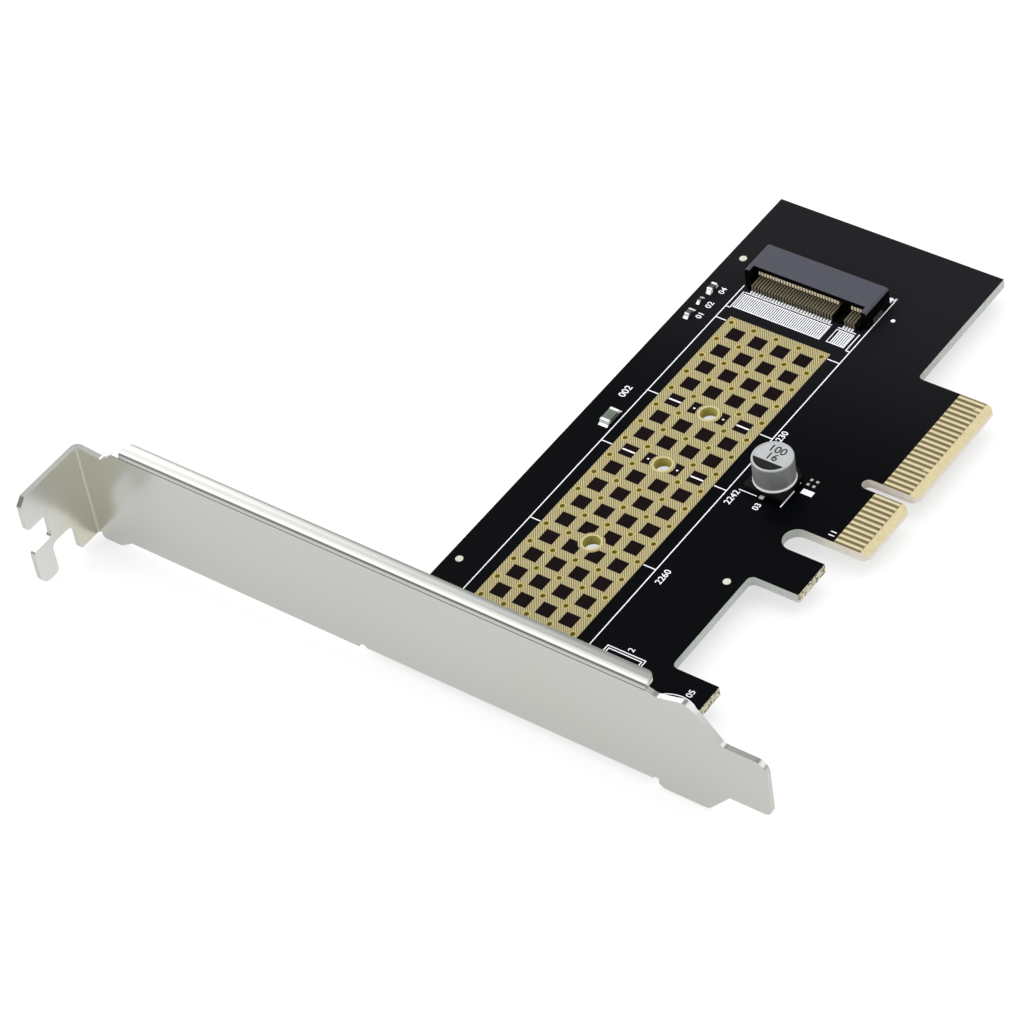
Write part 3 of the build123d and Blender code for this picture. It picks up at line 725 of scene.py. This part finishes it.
def softened_copy(node, name, width):
    """A copy of a solid's mesh in millimetres with its sharp edges slightly rounded."""
    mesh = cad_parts[node].data.copy()
    mesh.name = name
    mesh.materials.clear()
    mesh.transform(Matrix.Scale(1 / MM, 4))
    work = bmesh.new()
    work.from_mesh(mesh)
    bmesh.ops.remove_doubles(work, verts=work.verts, dist=SOLID_MERGE_DISTANCE)
    bmesh.ops.dissolve_limit(
        work,
        angle_limit=math.radians(SAME_PLANE_ANGLE),
        verts=work.verts,
        edges=work.edges,
        delimit=set(),
    )
    limit = math.radians(SHARP_EDGE_ANGLE)
    sharp = [
        edge
        for edge in work.edges
        if len(edge.link_faces) == 2 and edge.calc_face_angle(0.0) > limit
    ]
    bmesh.ops.bevel(
        work,
        geom=sharp,
        offset=width,
        offset_type="OFFSET",
        segments=2,
        profile=0.5,
        affect="EDGES",
        clamp_overlap=True,
    )
    for face in work.faces:
        face.smooth = True
    work.to_mesh(mesh)
    work.free()
    return mesh


def facing_by_area(mesh):
    """A facing for each point from its widest faces, which keeps flat faces even."""
    facing = [Vector() for vertex in mesh.vertices]
    for face in mesh.polygons:
        for vertex in face.vertices:
            facing[vertex] += face.normal * face.area**2
    return [way.normalized() for way in facing]


# Materials

def nickel_material():
    """Smooth nickel plate with a faint haze, a painted reflection that makes the tab paler and
    warmer, painted shade on the tab's bend, and a painted dark reflection line where the flange
    starts.
    """
    material, tree, shader = new_material("bracket_nickel")
    shader.inputs["Metallic"].default_value = 1.0
    x, y, z = [place_along(tree, axis) for axis in "XYZ"]
    face_x, face_y, face_z = [facing_along(tree, axis) for axis in "XYZ"]
    haze = noise(tree, 45.0)
    tone = blend(tree, haze, (0.49, 0.495, 0.457), (0.512, 0.517, 0.485))
    # Painted reflection: the tab is painted paler than the plate, and warmer towards its bend.
    along_tab = eased(tree, x, TAB_FAR_X, TAB_NEAR_X)
    tab_painted_reflection = blend(tree, along_tab, (0.66, 0.665, 0.64), (0.69, 0.665, 0.55))
    on_tab = all_of(tree, below(tree, face_y, TAB_FACING), above(tree, y, TAB_LOW_Y))
    tone = blend(tree, on_tab, tone, tab_painted_reflection)
    # Painted shade: the bend between the plate and the tab is painted darker, which dims its
    # reflection.
    bend_painted_shade = all_of(
        tree,
        within(tree, calc(tree, "ABSOLUTE", face_y), BEND_FACING_LOW, BEND_FACING_HIGH),
        below(tree, calc(tree, "ABSOLUTE", face_z), BEND_UPWARD_LIMIT),
    )
    tone = blend(tree, bend_painted_shade, tone, (0.4, 0.395, 0.34))
    # Painted reflection: a thin dark line painted along the bracket's face where the flange's bend
    # starts.
    painted_reflection_line = all_of(
        tree,
        within(tree, z, REFLECTION_LINE_Z - REFLECTION_LINE_HALF_WIDTH, REFLECTION_LINE_Z + REFLECTION_LINE_HALF_WIDTH),
        below(tree, face_x, REFLECTION_LINE_FACING),
        above(tree, y, REFLECTION_LINE_LOW_Y),
    )
    tone = blend(tree, painted_reflection_line, tone, (0.12, 0.12, 0.11))
    tree.links.new(tone, shader.inputs["Base Color"])
    satin = all_of(tree, eased(tree, y, SATIN_START_Y, SATIN_END_Y), below(tree, z, SATIN_TOP_Z))
    haze_share = between(tree, haze, 0.0, 0.05)
    level = between(tree, satin, 0.16, 0.21)
    tree.links.new(calc(tree, "ADD", haze_share, level), shader.inputs["Roughness"])
    bump(tree, noise(tree, 2500.0, 2.0), 0.05, 0.00002, shader)
    return material


def nearest_via(tree, x, y):
    """The distance to the nearest plated hole of the heat grid."""
    half = GRID_PITCH / 2
    along = calc(tree, "PINGPONG", calc(tree, "SUBTRACT", x, grid_via_x[-1]), half)
    across = calc(tree, "PINGPONG", calc(tree, "SUBTRACT", y, grid_via_y[0]), half)
    return distance(tree, along, across)


def nearest_hole(tree, x, y):
    """The distance to the nearest fixing hole of the drive."""
    across = calc(tree, "SUBTRACT", y, MODULE_Y)
    nearest = None
    for hole_x in module_hole_x:
        away = distance(tree, calc(tree, "SUBTRACT", x, hole_x), across)
        nearest = away if nearest is None else calc(tree, "MINIMUM", nearest, away)
    return nearest


def from_contact(tree, x):
    """The distance to the middle of the nearest card contact."""
    half = CONTACT_PITCH / 2
    return calc(tree, "PINGPONG", calc(tree, "SUBTRACT", x, half), half)


def mask_tone(tree, x, y):
    """Black solder mask with a painted sheen that lightens it away from the bracket, browner inside
    the heat grid, with dull copper in its plated holes.
    """
    in_grid = all_of(
        tree, within(tree, x, grid_end_x, GRID_START_X), within(tree, y, grid_low_y, grid_high_y)
    )
    in_via = all_of(
        tree,
        in_grid,
        below(tree, nearest_via(tree, x, y), VIA_STAIN_RADIUS),
        above(tree, nearest_hole(tree, x, y), RING_DIAMETER / 2 + VIA_STAIN_MARGIN),
    )
    cloud = noise(tree, 160.0, 4.0)
    tone = blend(tree, cloud, (0.0003, 0.0005, 0.0010), (0.0008, 0.0010, 0.0017))
    # Painted sheen: the mask is painted lighter away from the bracket.
    sheen = eased(tree, x, SHEEN_START_X, SHEEN_END_X)
    tone = blend(tree, sheen, tone, (0.0092, 0.0092, 0.0108))
    tone = blend(tree, in_grid, tone, (0.0052, 0.0022, 0.0026))
    copper = blend(tree, cloud, (0.06, 0.045, 0.008), (0.11, 0.085, 0.014))
    return blend(tree, in_via, tone, copper)


def cut_edge_tone(tree, x, y, fibre):
    """Cut glass-epoxy, paler on the edges of the contact blocks."""
    near_blocks = all_of(
        tree,
        eased(tree, x, MASK_HOOK_X - PALE_EDGE_FADE, MASK_HOOK_X + PALE_EDGE_FADE),
        eased(tree, x, PALE_EDGE_START_X, PALE_EDGE_END_X),
        eased(tree, y, MASK_EDGE_Y + PALE_EDGE_REACH, MASK_EDGE_Y),
    )
    tone = blend(tree, fibre, (0.34, 0.36, 0.33), (0.54, 0.56, 0.52))
    pale_tone = blend(tree, fibre, (0.53, 0.48, 0.42), (0.74, 0.68, 0.61))
    return blend(tree, near_blocks, tone, pale_tone)


def board_material():
    """Solder mask, bare glass-epoxy on cut edges and between contacts, copper in drilled holes."""
    material, tree, shader = new_material("board_mask_and_edge")
    x = place_along(tree, "X")
    y = place_along(tree, "Y")
    upward = calc(tree, "ABSOLUTE", facing_along(tree, "Z"))
    is_face = above(tree, upward, FLAT_FACING)
    is_side = below(tree, upward, SIDE_FACING)
    is_bevel = within(tree, upward, SIDE_FACING, FLAT_FACING)
    on_hook = below(tree, x, MASK_HOOK_X)
    off_contacts = calc(tree, "MAXIMUM", above(tree, y, MASK_EDGE_Y), on_hook)
    masked = all_of(tree, is_face, off_contacts)
    bare_face = all_of(tree, is_face, calc(tree, "SUBTRACT", 1.0, off_contacts))
    broken = all_of(tree, is_side, below(tree, y, BROKEN_EDGE_Y), on_hook)
    hole_wall = all_of(
        tree,
        is_side,
        within(tree, y, MODULE_Y - HOLE_WALL_REACH, MODULE_Y + HOLE_WALL_REACH),
        within(tree, x, grid_end_x, GRID_START_X),
    )

    fibre = noise(tree, 1400.0, 5.0, 0.65)
    bevel_tone = blend(tree, fibre, (0.4, 0.345, 0.19), (0.58, 0.51, 0.31))
    gap_tone = blend(tree, fibre, (0.13, 0.105, 0.05), (0.19, 0.155, 0.075))
    in_gap = above(tree, from_contact(tree, x), CONTACT_GAP_START)
    chips = between(tree, noise(tree, 2600.0, 2.0, 0.7), 0.0, 1.0, 0.4, 0.55)
    broken_tone = blend(tree, chips, (0.1, 0.09, 0.065), (0.6, 0.57, 0.43))
    wall_tone = blend(tree, fibre, (0.34, 0.3, 0.07), (0.55, 0.49, 0.14))
    tone = blend(tree, is_bevel, cut_edge_tone(tree, x, y, fibre), bevel_tone)
    tone = blend(tree, bare_face, tone, blend(tree, in_gap, bevel_tone, gap_tone))
    tone = blend(tree, broken, tone, broken_tone)
    tone = blend(tree, hole_wall, tone, wall_tone)
    tone = blend(tree, masked, tone, mask_tone(tree, x, y))
    tree.links.new(tone, shader.inputs["Base Color"])
    tree.links.new(between(tree, masked, 0.65, 0.4), shader.inputs["Roughness"])
    shader.inputs["Specular IOR Level"].default_value = 0.03
    bump(tree, fibre, 0.12, 0.00004, shader)
    return material


def grid_gold_material():
    """Pale gold plating crossed by a fine diagonal hatch, with plain rings around its holes."""
    material, tree, shader = new_material("gold_hatched")
    shader.inputs["Metallic"].default_value = 0.3
    place = tree.nodes.new("ShaderNodeTexCoord")
    turn = tree.nodes.new("ShaderNodeMapping")
    turn.inputs["Rotation"].default_value = (0.0, 0.0, math.radians(HATCH_TURN))
    tree.links.new(place.outputs["Object"], turn.inputs["Vector"])
    lines = tree.nodes.new("ShaderNodeTexWave")
    lines.wave_type = "BANDS"
    lines.bands_direction = "X"
    lines.inputs["Scale"].default_value = HATCH_SCALE
    lines.inputs["Distortion"].default_value = 0.8
    lines.inputs["Detail"].default_value = 1.0
    tree.links.new(turn.outputs["Vector"], lines.inputs["Vector"])
    hatch = lines.outputs["Fac"]
    x = place_along(tree, "X")
    y = place_along(tree, "Y")
    hole = nearest_hole(tree, x, y)
    ring = all_of(
        tree,
        below(tree, nearest_via(tree, x, y), VIA_RING_RADIUS),
        above(tree, hole, RING_DIAMETER / 2 + VIA_RING_MARGIN),
    )
    tone = blend(tree, hatch, (0.12, 0.095, 0.038), (0.5, 0.435, 0.215))
    tone = blend(tree, ring, tone, (0.42, 0.35, 0.1))
    plain = below(tree, hole, PLAIN_RING_DIAMETER / 2)
    tone = blend(tree, plain, tone, (0.47, 0.41, 0.2))
    tree.links.new(tone, shader.inputs["Base Color"])
    cloud = noise(tree, 300.0, 4.0)
    tree.links.new(between(tree, cloud, 0.5, 0.62), shader.inputs["Roughness"])
    bump(tree, hatch, 0.2, 0.00003, shader)
    return material


def contact_gold_material():
    """Pale gold plating on the card contacts, darker towards the long edges of each."""
    material, tree, shader = new_material("gold_contact_plating")
    shader.inputs["Metallic"].default_value = 0.45
    cloud = noise(tree, 300.0, 4.0)
    away = from_contact(tree, place_along(tree, "X"))
    at_edge = eased(tree, away, CONTACT_EDGE_START, CONTACT_GAP_START)
    tone = blend(tree, cloud, (0.56, 0.49, 0.3), (0.68, 0.6, 0.4))
    tone = blend(tree, at_edge, tone, (0.22, 0.175, 0.08))
    tree.links.new(tone, shader.inputs["Base Color"])
    tree.links.new(between(tree, cloud, 0.42, 0.55), shader.inputs["Roughness"])
    bump(tree, cloud, 0.05, 0.00003, shader)
    return material


def silk_material():
    """White print ink with a slightly uneven tone."""
    material, tree, shader = new_material("silk_white")
    cloud = noise(tree, 2200.0)
    tone = blend(tree, cloud, (0.62, 0.63, 0.66), (0.84, 0.85, 0.88))
    tree.links.new(tone, shader.inputs["Base Color"])
    shader.inputs["Roughness"].default_value = 0.6
    bump(tree, cloud, 0.1, 0.00002, shader)
    return material


def grained_material(name, low, high, rough_low, rough_high, specular):
    """An uneven tone with a fine grain, for plastic, coatings and dull metal."""
    material, tree, shader = new_material(name)
    cloud = noise(tree, 900.0, 4.0)
    tree.links.new(blend(tree, cloud, low, high), shader.inputs["Base Color"])
    tree.links.new(between(tree, cloud, rough_low, rough_high), shader.inputs["Roughness"])
    shader.inputs["Specular IOR Level"].default_value = specular
    bump(tree, noise(tree, 5000.0, 2.0), 0.12, 0.00002, shader)
    return material


def metal_material(name, low, high, rough_low, rough_high):
    """Plain metal with uneven tarnish."""
    material, tree, shader = new_material(name)
    shader.inputs["Metallic"].default_value = 1.0
    cloud = noise(tree, 1200.0)
    tree.links.new(blend(tree, cloud, low, high), shader.inputs["Base Color"])
    tree.links.new(between(tree, cloud, rough_low, rough_high), shader.inputs["Roughness"])
    bump(tree, cloud, 0.06, 0.00003, shader)
    return material


def socket_material():
    """Moulded plastic: grey-blue on top of the cover as painted light, nearly black everywhere else.
    """
    material, tree, shader = new_material("socket_moulding")
    cloud = noise(tree, 900.0, 4.0)
    dark = blend(tree, cloud, (0.0010, 0.0010, 0.0012), (0.0018, 0.0018, 0.0022))
    # Painted light: the upward faces of the cover are painted a lighter grey-blue than the rest.
    cover = blend(tree, cloud, (0.037, 0.038, 0.05), (0.052, 0.053, 0.069))
    is_cover = all_of(
        tree,
        above(tree, facing_along(tree, "Z"), 0.5),
        above(tree, place_along(tree, "Z"), SOCKET_COVER_LOW_Z),
    )
    tree.links.new(blend(tree, is_cover, dark, cover), shader.inputs["Base Color"])
    tree.links.new(between(tree, cloud, 0.45, 0.55), shader.inputs["Roughness"])
    tree.links.new(between(tree, is_cover, 0.03, 0.3), shader.inputs["Specular IOR Level"])
    bump(tree, noise(tree, 5000.0, 2.0), 0.1, 0.00002, shader)
    return material


def lower_contact_material():
    """Spring contacts, dull olive on their risers: painted shade on gold."""
    material, tree, shader = new_material("contact_risers")
    cloud = noise(tree, 1500.0)
    # Painted shade: the gold is painted a dark olive-brown.
    tone = blend(tree, cloud, (0.09, 0.075, 0.045), (0.17, 0.145, 0.095))
    tree.links.new(tone, shader.inputs["Base Color"])
    shader.inputs["Metallic"].default_value = 0.3
    tree.links.new(between(tree, cloud, 0.4, 0.55), shader.inputs["Roughness"])
    bump(tree, cloud, 0.06, 0.00003, shader)
    return material


def can_material():
    """Drawn aluminium with painted light and shade: bright on the top, the rolled rim and the flared
    foot, dark on the wall.
    """
    material, tree, shader = new_material("can_aluminium")
    z = place_along(tree, "Z")
    cloud = noise(tree, 700.0)
    # Painted light and shade: one aluminium, painted darker on the wall, lighter on the top and rim,
    # and lightest on the foot.
    wall = blend(tree, cloud, (0.24, 0.25, 0.24), (0.33, 0.34, 0.33))
    bright = blend(tree, cloud, (0.34, 0.35, 0.35), (0.44, 0.45, 0.45))
    foot = blend(tree, cloud, (0.8, 0.82, 0.82), (0.9, 0.92, 0.92))
    on_top = above(tree, facing_along(tree, "Z"), 0.35)
    at_rim = above(tree, z, CAN_FOOT_Z + CAN_HEIGHT - CAN_RIM_BAND)
    at_foot = below(tree, z, CAN_FOOT_Z + CAN_FOOT_BAND)
    tone = blend(tree, calc(tree, "MAXIMUM", on_top, at_rim), wall, bright)
    tree.links.new(blend(tree, at_foot, tone, foot), shader.inputs["Base Color"])
    shader.inputs["Metallic"].default_value = 0.35
    tree.links.new(between(tree, cloud, 0.38, 0.5), shader.inputs["Roughness"])
    bump(tree, cloud, 0.05, 0.00003, shader)
    return material


def lamp_material(name, middle_x, reach, low, high, end_tone):
    """A lamp's lens, with pale ends where its metal shows through."""
    material, tree, shader = new_material(name)
    cloud = noise(tree, 900.0)
    away = calc(tree, "ABSOLUTE", calc(tree, "SUBTRACT", place_along(tree, "X"), middle_x))
    tone = blend(tree, above(tree, away, reach), blend(tree, cloud, low, high), end_tone)
    tree.links.new(tone, shader.inputs["Base Color"])
    tree.links.new(between(tree, cloud, 0.2, 0.3), shader.inputs["Roughness"])
    bump(tree, cloud, 0.04, 0.00002, shader)
    return material


def dress(node, material):
    """Give a solid that stays its finished material."""
    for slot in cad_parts[node].material_slots:
        slot.link = "OBJECT"
        slot.material = material


# Pieces

def in_line(outline, index):
    """Whether a point of a closed outline lies on the line between its neighbours."""
    here = Vector(outline[index])
    first = here - Vector(outline[index - 1])
    second = Vector(outline[(index + 1) % len(outline)]) - here
    return abs(first.x * second.y - first.y * second.x) < STRAIGHT_LIMIT


def clipped_window(x, y, steps=16):
    """A square window as an outline, cut back where the ring of a fixing hole reaches into it."""
    half = GRID_WINDOW / 2
    ring_radius = RING_DIAMETER / 2
    outward = 1 if y > MODULE_Y else -1
    corners = rectangle(x - half, x + half, y - half, y + half)
    outline = []
    for start, end in zip(corners, corners[1:] + corners[:1]):
        for step in range(steps):
            share = step / steps
            px = start[0] + (end[0] - start[0]) * share
            py = start[1] + (end[1] - start[1]) * share
            for hole_x in module_hole_x:
                if math.hypot(px - hole_x, py - MODULE_Y) < ring_radius:
                    py = MODULE_Y + outward * math.sqrt(ring_radius**2 - (px - hole_x) ** 2)
            if not outline or math.dist((px, py), outline[-1]) > SAME_POINT_DISTANCE:
                outline.append((px, py))
    return [outline[index] for index in range(len(outline)) if not in_line(outline, index)]


def make_heat_grid(material):
    """The grid with round plated holes, rings and slightly softened edges."""
    outlines = [rectangle(grid_end_x, GRID_START_X, grid_low_y, grid_high_y)]
    for row_x in grid_via_x[:-1]:
        for column_y in grid_via_y[:-1]:
            outlines.append(clipped_window(row_x - GRID_PITCH / 2, column_y + GRID_PITCH / 2))
    for row_x in grid_via_x:
        for column_y in grid_via_y:
            nearest = min(math.hypot(row_x - x, column_y - MODULE_Y) for x in module_hole_x)
            if nearest > RING_DIAMETER / 2 + VIA_MARGIN:
                outlines.append(circle(row_x, column_y, GRID_VIA_DIAMETER / 2, VIA_STEPS))
    hole_radius = MODULE_HOLE_DIAMETER / 2 + HOLE_CLEARANCE
    outlines.extend(circle(hole_x, MODULE_Y, hole_radius, HOLE_STEPS) for hole_x in module_hole_x)
    mesh = flat_mesh("heat_grid_plated", outlines, 0.0, GRID_THICKNESS, GRID_EDGE_SOFTENING)
    add_piece("heat_grid_plated", mesh, material, ["heat_grid"])


def printed(*outlines):
    """A flat shape of print ink on the board, from outlines where inner ones are holes."""
    return flat_mesh("silk_shape", list(outlines), 0.0, SILK_THICKNESS)


def length_marks():
    """Lines across the seat's edges and in the grid's windows where each length of drive ends."""
    marks = []
    for x in [*module_hole_x, SEAT_MARK_X]:
        for low_y, high_y in ((SEAT_LOW_Y, grid_low_y), (grid_high_y, SEAT_HIGH_Y)):
            marks.append(([(x, low_y + MARK_GAP), (x, high_y - MARK_GAP)], SILK_LINE))
    window_tick = (GRID_PITCH * 1.5, GRID_WINDOW / 2 - MARK_GAP)
    dot_tick = (GRID_PITCH * 0.5 + DOT_TICK_OFFSET, DOT_TICK_REACH)
    for x in module_hole_x[:2]:
        for away in (-1, 1):
            for offset, reach in (window_tick, dot_tick):
                middle_y = MODULE_Y + away * offset
                marks.append(([(x, middle_y - reach), (x, middle_y + reach)], TICK_LINE))
    return marks


def boxed_line(low_x, high_x, low_y, high_y):
    """The outline of a rectangle as a print line."""
    half = SILK_LINE / 2
    outer = rectangle(low_x - half, high_x + half, low_y - half, high_y + half)
    inner = rectangle(low_x + half, high_x - half, low_y + half, high_y - half)
    return printed(outer, inner)


def striped_block(low_x, high_x, low_y, high_y):
    """A white block made of fine stripes inside a frame."""
    inner = (low_x + BLOCK_FRAME, high_x - BLOCK_FRAME, low_y + BLOCK_FRAME, high_y - BLOCK_FRAME)
    meshes = [printed(rectangle(low_x, high_x, low_y, high_y), rectangle(*inner))]
    count = int((high_y - low_y - 2 * BLOCK_FRAME) / STRIPE_PITCH)
    for number in range(count):
        y = inner[2] + (number + 0.5) * STRIPE_PITCH
        meshes.append(printed(rectangle(*inner[:2], y - STRIPE_WIDTH / 2, y + STRIPE_WIDTH / 2)))
    return meshes


def make_silk(material):
    """The white print: side lines of the drive, length marks, numbers and part outlines."""
    strokes = [(line, SILK_LINE) for line in PRINT_LINES] + length_marks()
    meshes = [printed(stroke(points, width)) for points, width in strokes]
    turns = [math.radians(ARC_START + ARC_STEP * step) for step in range(ARC_POINTS)]
    arc = [(ARC_X + ARC_RADIUS * math.cos(a), ARC_Y + ARC_RADIUS * math.sin(a)) for a in turns]
    meshes.append(printed(stroke(arc, SILK_LINE)))
    low_x, high_x, low_y, high_y = PIN_BOX
    for inset in (0.0, PIN_BOX_INSET):
        meshes.append(boxed_line(low_x, high_x - inset, low_y + inset, high_y - inset))
    for x, y, radius in (LARGE_DOT, SMALL_DOT):
        meshes.append(printed(circle(x, y, radius, DOT_STEPS)))
    meshes.append(printed(rectangle(*CAPACITOR_MARK)))
    for block in STRIPED_BLOCKS:
        meshes.extend(striped_block(*block))
    for x, y, digits, size in PRINT_NUMBERS:
        meshes.append(digits_mesh("silk_digits", digits, size, (x, y), 0.0, 0.0, SILK_THICKNESS))
    add_piece("silk_print", join_meshes("silk_print", meshes), material)


def make_bracket(material):
    """The bracket with its punched edges slightly rounded, and its flange shaded as if crowned."""
    mesh = softened_copy("bracket", "bracket_plated", EDGE_SOFTENING)
    facing = facing_by_area(mesh)
    for number, vertex in enumerate(mesh.vertices):
        if vertex.co.z > FLANGE_TOP_Z - FLANGE_TOP_DEPTH:
            share = (vertex.co.x - FLANGE_BEND_X) / (FLANGE_LIP_X - FLANGE_BEND_X)
            turn = math.radians(FLANGE_CROWN * (2 * share - 1))
            facing[number] = Vector((math.sin(turn), 0.0, math.cos(turn)))
    mesh.normals_split_custom_set_from_vertices(facing)
    add_piece("bracket_plated", mesh, material, ["bracket"])


def make_can(material):
    """The capacitor's drawn can with a rolled rim and a flared foot."""
    radius = CAN_RADIUS
    rim = CAN_RIM_RADIUS
    top = CAN_HEIGHT - CAN_TOP_SINK
    profile = [(0.0, 0.0), (radius + 0.08, 0.0), (radius + 0.12, 0.07), (radius + 0.11, 0.16)]
    profile += [(radius + 0.03, 0.26), (radius - 0.04, 0.42), (radius, 0.6)]
    profile.append((radius, CAN_HEIGHT - rim))
    for step in range(1, CAN_RIM_STEPS + 1):
        turn = math.pi / 2 * step / CAN_RIM_STEPS
        profile.append(
            (radius - rim + rim * math.cos(turn), CAN_HEIGHT - rim + rim * math.sin(turn))
        )
    profile += [(radius - rim - 0.04, CAN_HEIGHT - 0.02), (radius - rim - 0.08, top), (0.0, top)]
    mesh = lathe_mesh("capacitor_can_drawn", profile, CAPACITOR_X, CAPACITOR_Y, CAN_FOOT_Z, CAN_STEPS)
    add_piece("capacitor_can_drawn", mesh, material, ["capacitor_can"])


def make_can_print(material):
    """The dark segment and the digits on the top of the capacitor's can."""
    low_z = CAN_FOOT_Z + CAN_HEIGHT - CAN_TOP_SINK
    high_z = low_z + CAN_PRINT_THICKNESS
    radius = CAN_RADIUS - CAN_RIM_RADIUS - SEGMENT_INSET
    half_turn = math.radians(SEGMENT_HALF_ANGLE)
    outline = []
    for step in range(SEGMENT_STEPS + 1):
        turn = math.pi - half_turn + 2 * half_turn * step / SEGMENT_STEPS
        x = CAPACITOR_X + radius * math.cos(turn)
        y = CAPACITOR_Y + radius * math.sin(turn)
        outline.append((x, y))
    meshes = [flat_mesh("can_segment", [outline], low_z, high_z)]
    for digits, along in CAN_NUMBERS:
        place = (CAPACITOR_X + along, CAPACITOR_Y)
        meshes.append(
            digits_mesh("can_digits", digits, CAN_DIGIT_SIZE, place, CAN_DIGIT_TURN, low_z, high_z)
        )
    add_piece("capacitor_print", join_meshes("capacitor_print", meshes), material)


def make_foot_solder(material):
    """A rounded bead of solder on the foot of each lower contact of the drive socket."""
    centre = (POSITIONS + 1) / 2
    meshes = []
    for position in range(2, POSITIONS + 1, 2):
        if KEY_FIRST <= position <= KEY_LAST:
            continue
        y = MODULE_Y - (position - centre) * POSITION_PITCH
        work = bmesh.new()
        bmesh.ops.create_uvsphere(
            work, u_segments=BEAD_SEGMENTS, v_segments=BEAD_RINGS, radius=1.0
        )
        bmesh.ops.scale(work, vec=(FOOT_LENGTH, FOOT_WIDTH, FOOT_HEIGHT), verts=work.verts)
        bmesh.ops.translate(work, vec=(FOOT_X, y, 0.0), verts=work.verts)
        under = [vertex for vertex in work.verts if vertex.co.z < BEAD_CUT_Z]
        bmesh.ops.delete(work, geom=under, context="VERTS")
        for face in work.faces:
            face.smooth = True
        meshes.append(to_mesh("foot_bead", work))
    mesh = join_meshes("socket_foot_solder", meshes)
    add_piece("socket_foot_solder", mesh, material)


make_camera()
make_floor(cad_box[0][2])
make_world()
for lamp in LAMPS:
    make_lamp(*lamp)

gold_contact = contact_gold_material()
dull_tin = grained_material("dull_tin", (0.26, 0.26, 0.25), (0.42, 0.42, 0.4), 0.4, 0.5, 0.4)
tin = metal_material("tin_plating", (0.6, 0.6, 0.58), (0.75, 0.75, 0.73), 0.3, 0.45)
solder = grained_material("solder_bright", (0.68, 0.7, 0.7), (0.85, 0.86, 0.86), 0.25, 0.4, 0.6)

finishes = {
    "circuit_board": board_material(),
    "edge_contacts_front": gold_contact,
    "edge_contacts_back": gold_contact,
    "fiducial_pads": grained_material(
        "pad_plating", (0.42, 0.43, 0.35), (0.54, 0.55, 0.46), 0.4, 0.5, 0.4
    ),
    "spare_pads": dull_tin,
    "capacitor_terminals": dull_tin,
    "capacitor_base": grained_material(
        "base_plastic", (0.002, 0.002, 0.002), (0.004, 0.004, 0.004), 0.5, 0.6, 0.1
    ),
    "socket_housing": socket_material(),
    "socket_hold_downs": grained_material(
        "dark_tin", (0.02, 0.02, 0.022), (0.05, 0.05, 0.052), 0.4, 0.5, 0.3
    ),
    "socket_contacts_upper": grained_material(
        "contact_tips", (0.88, 0.76, 0.5), (0.98, 0.9, 0.68), 0.3, 0.45, 0.6
    ),
    "socket_contacts_lower": lower_contact_material(),
    "link_led_body": lamp_material(
        "link_lamp",
        LINK_LAMP_X,
        LINK_LENS_REACH,
        (0.03, 0.035, 0.025),
        (0.07, 0.08, 0.06),
        (0.7, 0.72, 0.7),
    ),
    "link_led_terminals": tin,
    "drive_led_body": lamp_material(
        "drive_lamp",
        DRIVE_LAMP_X,
        DRIVE_LENS_REACH,
        (0.05, 0.07, 0.05),
        (0.12, 0.15, 0.11),
        (0.62, 0.64, 0.62),
    ),
    "drive_led_terminals": tin,
    "resistor_body": grained_material(
        "resistor_coating", (0.01, 0.01, 0.01), (0.02, 0.02, 0.02), 0.3, 0.4, 0.5
    ),
    "resistor_end_caps": tin,
    "ceramic_capacitor_body": grained_material(
        "ceramic_body", (0.035, 0.025, 0.018), (0.065, 0.045, 0.03), 0.4, 0.5, 0.4
    ),
    "ceramic_capacitor_end_caps": solder,
    "solder_fillets": solder,
    "bracket_screws": metal_material(
        "screw_plating", (0.5, 0.5, 0.48), (0.62, 0.62, 0.6), 0.22, 0.35
    ),
}
for node, finish in finishes.items():
    dress(node, finish)

make_heat_grid(grid_gold_material())
make_silk(silk_material())
make_bracket(nickel_material())
make_can(can_material())
make_can_print(
    grained_material("dark_ink", (0.006, 0.006, 0.006), (0.012, 0.012, 0.012), 0.5, 0.6, 0.1)
)
make_foot_solder(solder)

bpy.context.scene.view_settings.view_transform = "Standard"
